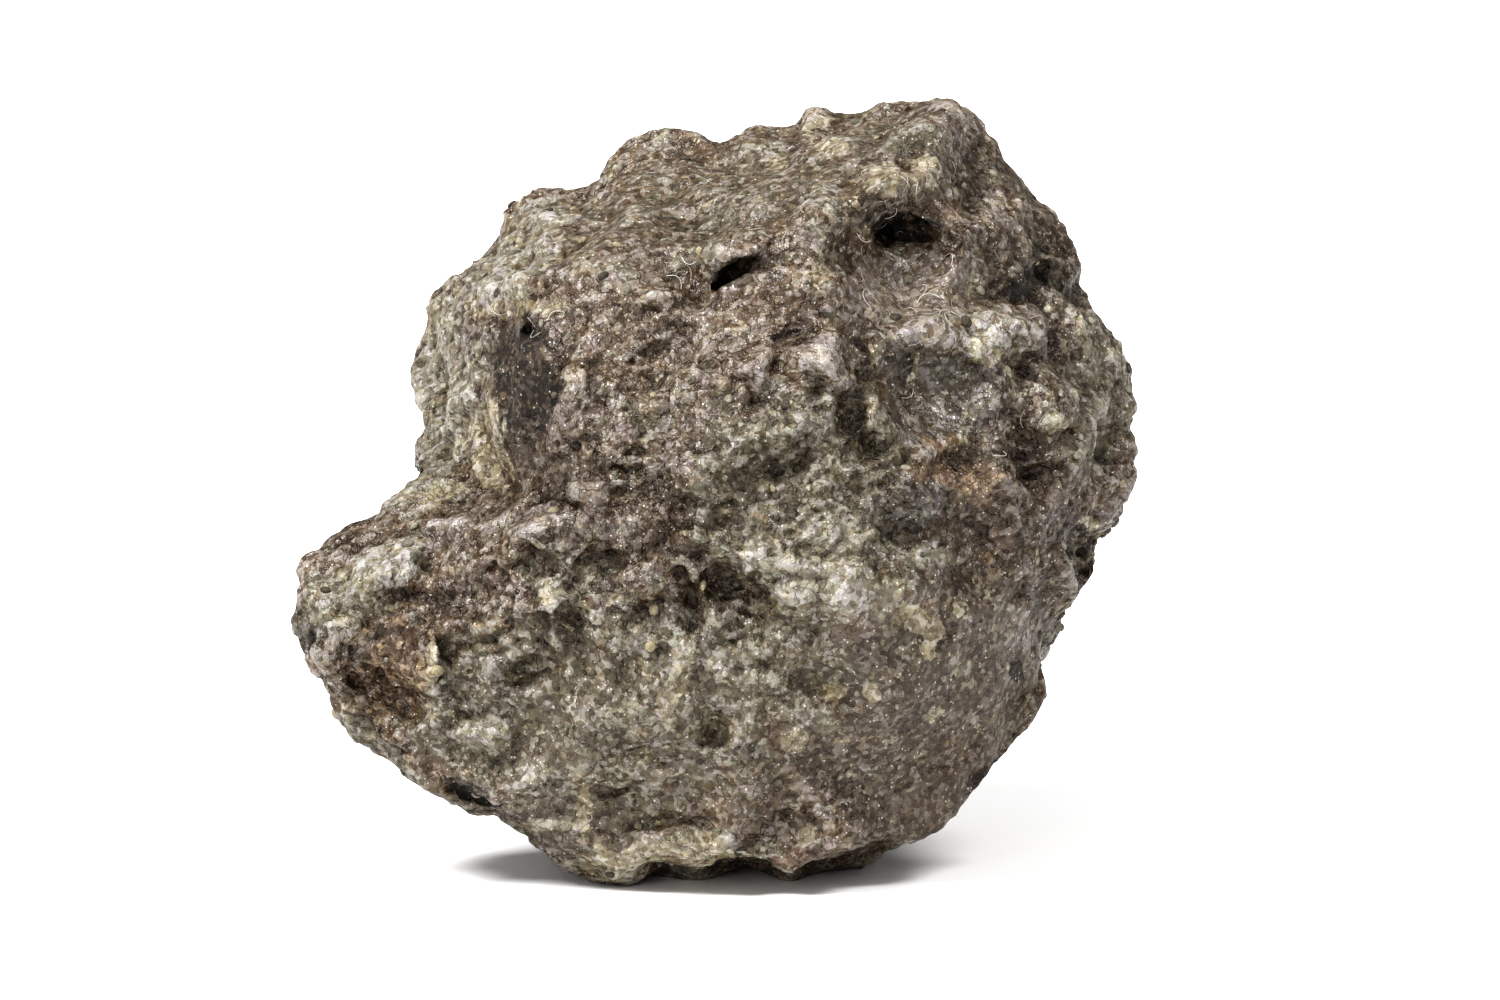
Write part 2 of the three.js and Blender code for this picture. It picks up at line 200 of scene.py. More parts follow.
@dataclass
class CellHit:
    """The nearest seed of a cell pattern: distances to it and to the next one, a number from -1 to 1 that
    is the same all over its cell, and the way from it to the point."""

    nearest: Array
    second: Array
    kind: Array
    offset: Array


class AroundCurve:
    """A smooth closed curve through values at angles round the face."""

    def __init__(self, stations: list[tuple[float, float]]) -> None:
        """Sort the stations.

        Args:
            stations: Pairs of an angle in degrees and the value there.
        """
        ordered = sorted(stations)
        count = len(ordered)
        turned = [(a + 360.0 * t, v) for t in (-1, 0, 1, 2) for a, v in ordered]
        self.start = ordered[0][0]
        self.first = count
        self.angles = np.array([a for a, _ in turned])
        self.values = np.array([v for _, v in turned])

    def at(self, angle: Array) -> Array:
        """Give the curve's value at each angle, in degrees."""
        turned = np.mod(angle - self.start, 360.0) + self.start
        i = np.searchsorted(self.angles, turned, side="right") - 1
        i = np.maximum(i, self.first)
        a0, a1, a2, a3 = (self.angles[i + k] for k in (-1, 0, 1, 2))
        v0, v1, v2, v3 = (self.values[i + k] for k in (-1, 0, 1, 2))
        span = a2 - a1
        t = (turned - a1) / span
        leave = (v2 - v0) / (a2 - a0) * span
        arrive = (v3 - v1) / (a3 - a1) * span
        t2 = t * t
        t3 = t2 * t
        return (
            v1 * (2 * t3 - 3 * t2 + 1)
            + leave * (t3 - 2 * t2 + t)
            + v2 * (3 * t2 - 2 * t3)
            + arrive * (t3 - t2)
        )


@dataclass(frozen=True)
class BrokenFace:
    """A broken face, which passes through a place at a depth and deepens by so much per mm."""

    place: Place
    depth: float
    slope: Place
    rounding: float = 0.0

    def depth_at(self, across: Array, up: Array) -> Array:
        """Give the face's depth at places."""
        right = self.slope[0] * (across - self.place[0])
        return self.depth + right + self.slope[1] * (up - self.place[1])


@dataclass(frozen=True)
class Oval:
    """An oval region of the face: its middle, half sizes and turn in degrees."""

    place: Place
    half: Place
    turn: float = 0.0

    def share_at(self, across: Array, up: Array) -> Array:
        """Give the squared distance from the middle, 1 on the oval's edge."""
        angle = math.radians(self.turn)
        dx = across - self.place[0]
        dz = up - self.place[1]
        along = (dx * math.cos(angle) + dz * math.sin(angle)) / self.half[0]
        aside = (dz * math.cos(angle) - dx * math.sin(angle)) / self.half[1]
        return along * along + aside * aside

    def mound_at(self, across: Array, up: Array) -> Array:
        """Give a mound, 1 at the middle and 0 from the oval's edge outwards."""
        return np.maximum(1.0 - self.share_at(across, up), 0.0) ** 2


@dataclass(frozen=True)
class Spot:
    """An oval of the face with an amount: the height of its mound, how rough it is or what shows there."""

    oval: Oval
    amount: float


def spot(across: float, up: float, half: Place, turn: float, amount: float) -> Spot:
    """Make one spot at a place on the face."""
    return Spot(Oval((across, up), half, turn), amount)


@dataclass(frozen=True)
class FarRelief:
    """A knob or thumbprint on the back or sides, round a direction from the stone's middle."""

    toward: tuple[float, float, float]
    reach: float
    height: float

    def height_at(self, directions: Array) -> Array:
        """Give the height at directions, which are unit rows."""
        middle = np.array(self.toward) / np.linalg.norm(self.toward)
        apart = np.linalg.norm(directions - middle, axis=1) / self.reach
        return self.height * np.maximum(1.0 - apart * apart, 0.0) ** 2


@dataclass(frozen=True)
class Lump:
    """One size of the uneven lumps all over the stone."""

    size: float
    height: float
    ridged: bool = False


@dataclass
class StoneForm:
    """The stone's form: the same sizes and rules as the part's own solid, and a little finer relief."""

    front_swell: float = 16.5
    back_swell: float = 15.5
    face_middle_height: float = 17.1
    front_squareness: float = 7.0
    back_squareness: float = 3.5
    edge_bulge: float = 9.0
    edge_depth: float = 3.6
    knob_height: float = 0.35
    knob_fade: Place = (0.04, 0.3)  # how far from the outline its knobs begin and end to fade
    ease_steps: int = 6  # the outline is eased over so many stations on each side
    ease_degrees: float = 3.0  # so far apart
    relief_fade: float = 0.4  # how much of the swell the front's relief takes to reach its full height
    fit_from: float = 0.8  # how far out from the face's middle the stone is fitted to the outline
    lump_seed: int = 7
    bend_size: float = 1.3  # the hollows' edges are made uneven: the size of the bends
    bend_reach: float = 0.55  # and how far they go
    outline: list[Place] = field(default_factory=lambda: [
        (-20.8, -6.2), (-20.4, -4.7), (-20.3, -2.9), (-19.1, -2.0), (-17.9, -1.1), (-16.9, -0.7),
        (-16.0, 0.1), (-14.8, 1.0), (-15.0, 2.4), (-14.4, 3.8), (-15.3, 5.8), (-14.4, 8.3),
        (-14.2, 9.4), (-12.6, 10.8), (-11.1, 12.5), (-10.1, 13.8), (-9.0, 14.5), (-6.6, 14.9),
        (-5.1, 16.7), (-3.5, 17.5), (-1.9, 17.4), (-0.4, 16.8), (1.2, 17.4), (3.2, 17.5),
        (3.6, 18.5), (5.6, 18.2), (7.3, 18.8), (9.4, 18.9), (11.9, 17.9), (13.1, 15.9),
        (14.5, 14.2), (16.7, 11.1), (16.6, 10.3), (17.3, 9.5), (18.5, 6.7), (19.2, 4.6),
        (19.0, 3.5), (19.2, 2.8), (18.9, 0.6), (17.8, -1.4), (17.2, -1.9), (17.2, -3.5),
        (16.0, -5.5), (14.8, -7.8), (14.9, -9.2), (13.2, -11.7), (11.3, -14.0), (9.7, -15.7),
        (7.5, -16.5), (6.1, -17.4), (4.0, -17.8), (3.0, -18.5), (1.4, -17.6), (0.5, -17.4),
        (-1.4, -18.1), (-3.8, -17.9), (-4.8, -18.4), (-7.3, -17.5), (-9.2, -16.3), (-11.1, -15.0),
        (-12.7, -14.5), (-15.9, -12.6), (-17.8, -11.2), (-19.2, -9.0),
    ])
    rim_depths: list[Place] = field(default_factory=lambda: [
        (0, 1), (30, 3), (60, 4), (90, 4.5), (120, 5), (150, 4.5), (168, 2.5), (186, -3.5),
        (204, -5), (235, -5), (270, -5.5), (290, -5), (315, -2.5), (340, -0.5),
    ])
    front_faces: list[BrokenFace] = field(default_factory=lambda: [
        BrokenFace((-15, -8), -7.2, (-0.55, 0.05), 4.0),
        BrokenFace((15, 0), -5.5, (0.75, 0.1), 5.0),
        BrokenFace((0, 10), -9.6, (0.08, 0.3), 4.0),
        BrokenFace((0, -17), -7.5, (0.05, -0.62), 6.0),
        BrokenFace((-4.2, 11.2), -8.8, (-0.5, 2.1), 0.9),
        BrokenFace((12.5, 14), -4.5, (1.3, 0.9), 2.0),
    ])
    back_faces: list[BrokenFace] = field(default_factory=lambda: [
        BrokenFace((0, 9), 12.5, (0.15, -0.75), 1.5),
        BrokenFace((-8, 0), 11.0, (0.85, 0.1), 2.0),
        BrokenFace((10, -2), 12.0, (-0.7, 0.15), 1.5),
        BrokenFace((0, -10), 13.0, (-0.1, 0.35), 2.5),
    ])
    dark_wall: BrokenFace = BrokenFace((-8, 5), -9.8, (-1.35, -0.15))
    pale_flank: BrokenFace = BrokenFace((-12.1, 5), -4.4, (-3.2, -0.35))
    lobe_top: BrokenFace = BrokenFace((-13.2, -0.6), -6.6, (-0.7, 2.6))
    front_relief: list[Spot] = field(default_factory=lambda: [
        spot(-10.6, 9.9, (2.6, 1.2), 4, 1.0),  # pale rim over the dark wall
        spot(-6.9, 4.6, (1.2, 4.8), -2, 0.8),
        spot(8.1, 11.0, (4.3, 3.9), -10, -2.4),  # thumbprint below the crown
        spot(8.1, 12.7, (2.1, 1.3), -6, -2.8),  # the pit in it
        spot(7.4, 14.6, (3.2, 1.1), 8, 1.0),
        spot(10.8, 11.2, (0.9, 3.4), -32, 0.8),
        spot(0.4, 10.5, (1.5, 0.8), 12, -1.8),  # slit pit
        spot(0.6, 11.7, (2.6, 0.8), 14, 0.7),
        spot(-3.4, 10.0, (2.6, 1.1), 12, 0.6),
        spot(14.4, 10.5, (2.4, 1.4), -8, -2.0),  # crevice under the right shoulder
        spot(13.5, 8.3, (2.8, 2.2), 0, 1.3),
        spot(15.0, 4.6, (2.2, 2.4), 0, 0.9),
        spot(16.2, 3.4, (3.2, 5.0), 0, 1.3),  # right lobe
        spot(9.2, 5.0, (3.6, 2.8), -15, -1.3),  # smooth slab
        spot(5.6, 5.2, (1.2, 2.8), -12, -1.5),
        spot(4.3, 6.2, (1.9, 2.0), 0, 1.2),
        spot(3.0, 7.8, (1.7, 1.1), 10, -1.0),
        spot(1.0, 6.0, (1.7, 1.2), -20, 0.7),
        spot(-2.5, 7.2, (2.0, 1.0), 12, -0.7),
        spot(8.5, 0.3, (1.8, 1.7), 0, 1.1),  # dark knob on the right face
        spot(6.4, 2.4, (1.6, 1.0), 30, -0.8),
        spot(10.6, 1.6, (1.7, 1.2), 0, -0.8),
        spot(3.2, 1.8, (2.2, 1.2), 25, -0.7),
        spot(0.2, -3.8, (1.8, 1.3), 10, -1.4),  # hollow at the middle
        spot(-1.9, -5.2, (1.0, 2.4), 8, -1.2),
        spot(-1.6, -1.6, (2.4, 1.2), -15, 0.8),
        spot(-4.4, 0.8, (2.0, 1.2), 20, -0.7),
        spot(3.6, -4.6, (2.6, 1.6), 28, 0.7),
        spot(-3.0, -8.4, (0.8, 2.2), -14, 0.7),
        spot(-4.7, -8.0, (1.1, 2.2), -10, -0.9),
        spot(-8.2, -4.7, (1.6, 1.3), 0, 1.2),  # pale knob
        spot(-6.4, -2.6, (1.7, 1.1), 15, -0.8),
        spot(-9.5, -1.6, (2.8, 1.1), 24, 1.2),
        spot(-11.9, -4.4, (1.6, 1.4), 0, -0.8),
        spot(-15.9, -8.4, (2.5, 2.8), 20, -2.0),  # rusty thumbprint on the lobe
        spot(-13.9, -7.6, (0.9, 2.4), -6, 1.0),
        spot(-16.4, -3.4, (2.6, 1.6), 25, 1.1),
        spot(-18.2, -6.2, (1.2, 1.2), 0, 0.6),
        spot(-11.6, -11.2, (1.8, 1.4), 0, 0.9),
        spot(-9.4, -13.2, (1.4, 1.1), 0, 0.6),
        spot(-9.8, -8.2, (1.8, 1.3), 25, -1.0),
        spot(-6.8, -10.4, (1.5, 2.0), 15, 0.8),
        spot(-5.4, -12.9, (2.0, 1.2), -10, -0.9),
        spot(-0.6, -10.6, (1.6, 1.2), 0, -0.8),
        spot(1.6, -13.0, (2.0, 1.3), 15, 0.6),
        spot(4.8, -8.8, (2.2, 1.4), -20, -0.7),
        spot(8.6, -4.4, (2.0, 1.2), 8, 0.7),
        spot(11.6, -3.0, (1.4, 2.4), -10, -0.8),
        spot(-12.0, -13.9, (2.6, 1.0), -28, -1.4),  # dark underside of the lobe
        spot(-2.3, -16.6, (4.4, 1.4), 0, 1.3),  # pale lip over the foot
        spot(16.6, -3.2, (1.2, 2.2), 4, -2.0),  # three scoops behind the right edge
        spot(14.0, -9.9, (1.3, 2.7), -24, -1.8),
        spot(12.2, -13.0, (1.0, 2.3), -48, -1.6),
        spot(-9.4, 13.2, (1.6, 1.2), 30, 0.7),
        spot(-6.6, 15.8, (2.6, 1.0), 20, 0.8),
        spot(1.0, 15.4, (2.4, 0.9), 10, -0.8),
        spot(9.6, 17.2, (3.8, 1.6), 0, 1.2),  # crown
    ])
    smooth_patches: list[Spot] = field(default_factory=lambda: [  # with the share of the lumps left there
        spot(10.2, -9.5, (7.5, 8.0), 0, 0.3),
        spot(9.2, 5.2, (3.4, 3.0), 0, 0.3),
        spot(9.0, 10.6, (3.0, 2.6), 0, 0.4),
    ])
    finer_relief: list[Spot] = field(default_factory=lambda: [
        spot(8.1, 12.7, (2.1, 1.3), -6, 1.9),  # most of the pit is filled up again
        spot(7.5, 12.9, (0.9, 0.75), 0, -1.9),  # and leaves a small deep mouth
        spot(8.9, 13.2, (1.5, 0.5), -12, -0.9),
        spot(14.1, 10.3, (1.1, 0.9), 0, -1.1),
        spot(0.4, -3.9, (1.6, 1.2), 10, 1.0),
        spot(5.6, 5.4, (1.0, 2.2), -12, 0.9),
        spot(3.0, 7.8, (1.6, 1.0), 10, 0.8),
        spot(-2.5, 7.3, (1.9, 1.0), 12, 0.6),
        spot(-6.4, -2.6, (1.6, 1.0), 15, 0.6),
        spot(1.0, 11.2, (1.1, 0.6), 14, 1.4),  # the slit pit is moved down a little
        spot(-0.2, 10.1, (1.1, 0.4), 14, -0.9),
        spot(-9.3, 7.6, (0.8, 0.65), 0, -1.4),  # the hole at the top of the dark wall
        spot(-3.2, -17.5, (3.6, 1.2), 2, 0.6),  # the lip along the bottom edge
        spot(-10.4, 8.6, (2.0, 0.35), 3, -0.3),
        spot(-7.4, 5.0, (0.6, 4.0), -3, 0.5),
    ])
    back_relief: list[FarRelief] = field(default_factory=lambda: [
        FarRelief((0.35, 0.85, 0.45), 0.42, -2.6),
        FarRelief((-0.45, 0.85, 0.15), 0.4, -2.4),
        FarRelief((0.1, 0.95, -0.35), 0.36, -2.0),
        FarRelief((-0.2, 0.6, 0.8), 0.34, -1.9),
        FarRelief((0.8, 0.6, -0.2), 0.34, -1.9),
        FarRelief((0.75, 0.45, 0.5), 0.26, -1.3),
        FarRelief((-0.7, 0.6, -0.45), 0.32, -1.7),
        FarRelief((-0.85, 0.45, 0.3), 0.24, -1.2),
        FarRelief((0.6, 0.7, 0.15), 0.22, -1.1),
        FarRelief((-0.1, 0.95, 0.3), 0.2, 1.1),
        FarRelief((0.5, 0.85, -0.05), 0.18, 0.9),
        FarRelief((-0.4, 0.85, -0.35), 0.2, 1.1),
        FarRelief((0.45, 0.6, -0.65), 0.24, 0.9),
        FarRelief((0.05, 0.45, -0.9), 0.55, 4.2),  # the foot's heel
    ])
    lumps: list[Lump] = field(default_factory=lambda: [
        Lump(9.0, 1.8),
        Lump(5.2, 2.0, ridged=True),
        Lump(2.6, 1.0),
    ])

    def __post_init__(self) -> None:
        """Draw the outline's curves and measure how far the uneven stone misses them."""
        stations = [(math.degrees(math.atan2(z, x)), math.hypot(x, z)) for x, z in self.outline]
        self.reach = AroundCurve(stations)
        self.rim = AroundCurve(self.rim_depths)
        self.lump_noise = LatticeNoise(self.lump_seed)
        self.miss = self._outline_miss()

    def eased_reach(self, angle: Array) -> Array:
        """Give the outline without its knobs and notches, drawn in a little."""
        steps = range(-self.ease_steps, self.ease_steps + 1)
        weights = [1.0 - abs(k) / (self.ease_steps + 1) for k in steps]
        parts = [w * self.reach.at(angle + k * self.ease_degrees) for k, w in zip(steps, weights)]
        return sum(parts) / sum(weights) - self.knob_height

    def lump_height(self, points: Array) -> Array:
        """Give the height of the uneven lumps at points in mm."""
        total = np.zeros(len(points))
        for lump in self.lumps:
            noise = self.lump_noise.smooth(points / lump.size)
            total += lump.height * (0.3 - np.abs(noise) if lump.ridged else noise)
        return total

    def relief_height(self, across: Array, up: Array) -> Array:
        """Give the height of the front's mounds and hollows together."""
        flat = np.stack([across, up, np.zeros(len(across))], axis=1)
        bend = [self.lump_noise.smooth(flat / self.bend_size + shift) for shift in (5.5, 9.5)]
        across = across + self.bend_reach * bend[0]
        up = up + self.bend_reach * bend[1]
        total = np.zeros(len(across))
        for item in self.front_relief + self.finer_relief:
            total += item.amount * item.oval.mound_at(across, up)
        return total

    def rough_share(self, across: Array, up: Array) -> Array:
        """Give the share of the lumps that is left at places on the face."""
        rough = np.ones(len(across))
        for patch in self.smooth_patches:
            apart = np.sqrt(patch.oval.share_at(across, up))
            rough *= patch.amount + (1.0 - patch.amount) * smoothstep(apart, 0.6, 1.0)
        return rough

    def _front_depth(self, across: Array, up: Array, swell: Array) -> Array:
        """Give the depth of the broken front before its edges are rounded over."""
        depth = -self.front_swell * swell
        for face in self.front_faces:
            depth = rounded_max(depth, face.depth_at(across, up), face.rounding)
        walls = rounded_max(self.dark_wall.depth_at(across, up), self.pale_flank.depth_at(across, up), 0.4)
        notch = rounded_min(walls, self.lobe_top.depth_at(across, up), 1.0)
        return rounded_max(depth, notch, 0.8)

    def _back_depth(self, across: Array, up: Array, swell: Array) -> Array:
        """Give the depth of the broken back before its edges are rounded over."""
        depth = self.back_swell * swell
        for face in self.back_faces:
            depth = rounded_min(depth, face.depth_at(across, up), face.rounding)
        return depth

    def uneven_surface(self, directions: Array) -> Array:
        """Find where directions from the stone's middle meet its surface, before the outline is fitted.

        Args:
            directions: Unit rows, across, away from the eye, and up.

        Returns:
            Rows of across, up and depth, in mm.
        """
        x, y, z = directions.T
        outward = np.minimum(np.hypot(x, z), 1.0)
        angle = angle_of(x, z)
        eased = self.eased_reach(angle)
        knobs = (self.reach.at(angle) - eased) * (1.0 - smoothstep(np.abs(y), *self.knob_fade))
        across = (eased + knobs) * x
        up = (eased + knobs) * z
        rim = self.rim.at(angle)
        front = y < 0
        away = np.where(front, -1.0, 1.0)
        swell = np.sqrt(np.maximum(1.0 - outward * outward, 0.0))
        face = np.where(front, self._front_depth(across, up, swell), self._back_depth(across, up, swell))
        squareness = np.where(front, self.front_squareness, self.back_squareness)
        turn_over = np.sqrt(np.maximum(1.0 - outward**squareness, 0.0))
        cut = away * (face - rim) * turn_over
        bulge = self.edge_depth * (1.0 - np.exp(-self.edge_bulge * swell / self.edge_depth))
        raised = smoothstep(swell, 0.0, self.relief_fade) * self.relief_height(across, up)
        raised = np.where(front, raised, 0.0)
        depth = rim + away * (rounded_max(cut, bulge, swell + 0.01) + raised)
        rough = np.where(front, self.rough_share(across, up), 1.0)
        height = rough * self.lump_height(np.stack([across, up, depth], axis=1))
        far = sum(item.height_at(directions) for item in self.back_relief)
        height += far * smoothstep(y, -0.05, 0.2)
        return np.stack([across + height * x, up + height * z, depth + height * y], axis=1)

    def _outline_miss(self) -> AroundCurve:
        """Measure how far the uneven stone falls short of its outline, at angles round the face."""
        stations = []
        y = np.arange(-0.6, 0.6001, 0.025)
        flat = np.sqrt(1.0 - y * y)
        for angle in range(-180, 180, 2):
            x, z = math.cos(math.radians(angle)), math.sin(math.radians(angle))
            rows = self.uneven_surface(np.stack([x * flat, y, z * flat], axis=1))
            widest = float(np.hypot(rows[:, 0], rows[:, 1]).max())
            stations.append((float(angle), float(self.reach.at(np.array([angle]))[0]) - widest))
        return AroundCurve(stations)

    def seen_surface(self, directions: Array) -> Array:
        """Find the finished surface, fitted to the outline, as rows of across, up and depth in mm."""
        rows = self.uneven_surface(directions)
        angle = angle_of(rows[:, 0], rows[:, 1])
        radius = np.hypot(rows[:, 0], rows[:, 1])
        miss = self.miss.at(angle)
        share = smoothstep(radius / (self.reach.at(angle) - miss), self.fit_from, 1.0)
        grown = 1.0 + miss * share / np.maximum(radius, 1.0)
        return np.stack([rows[:, 0] * grown, rows[:, 1] * grown, rows[:, 2]], axis=1)

    def view_to_stone(self, rows: Array) -> Array:
        """Turn rows of across, up and depth into x, y and z in mm, with the eye's perspective taken out."""
        across, up, depth = rows.T
        spread = 1.0 + depth / EYE_DISTANCE
        sin, cos = math.sin(EYE_LIFT), math.cos(EYE_LIFT)
        y = depth * cos + up * spread * sin
        z = self.face_middle_height + up * spread * cos - depth * sin
        return np.stack([across * spread, y, z], axis=1)


class Mineral(Enum):
    """What shows at the stone's surface, apart from the brown crust that is everywhere else. Besides real
    minerals, the near-black one is painted shade in pits and recesses, the dark brown one is dark crust and
    painted shade in hollows, and the glossy lilac-grey one carries painted highlights.
    """

    OLIVE = "olive"
    PALE = "pale"
    CREAM = "cream"
    RUST = "rust"
    SLAB = "slab"
    # painted shade: near-black laid into pits and recesses, with a few scattered specks
    SOOT = "soot"
    # dark brown crust, and painted shade in hollows
    UMBER = "umber"
    # glossy lilac-grey skin, painted lighter as painted highlights
    SHEEN = "sheen"


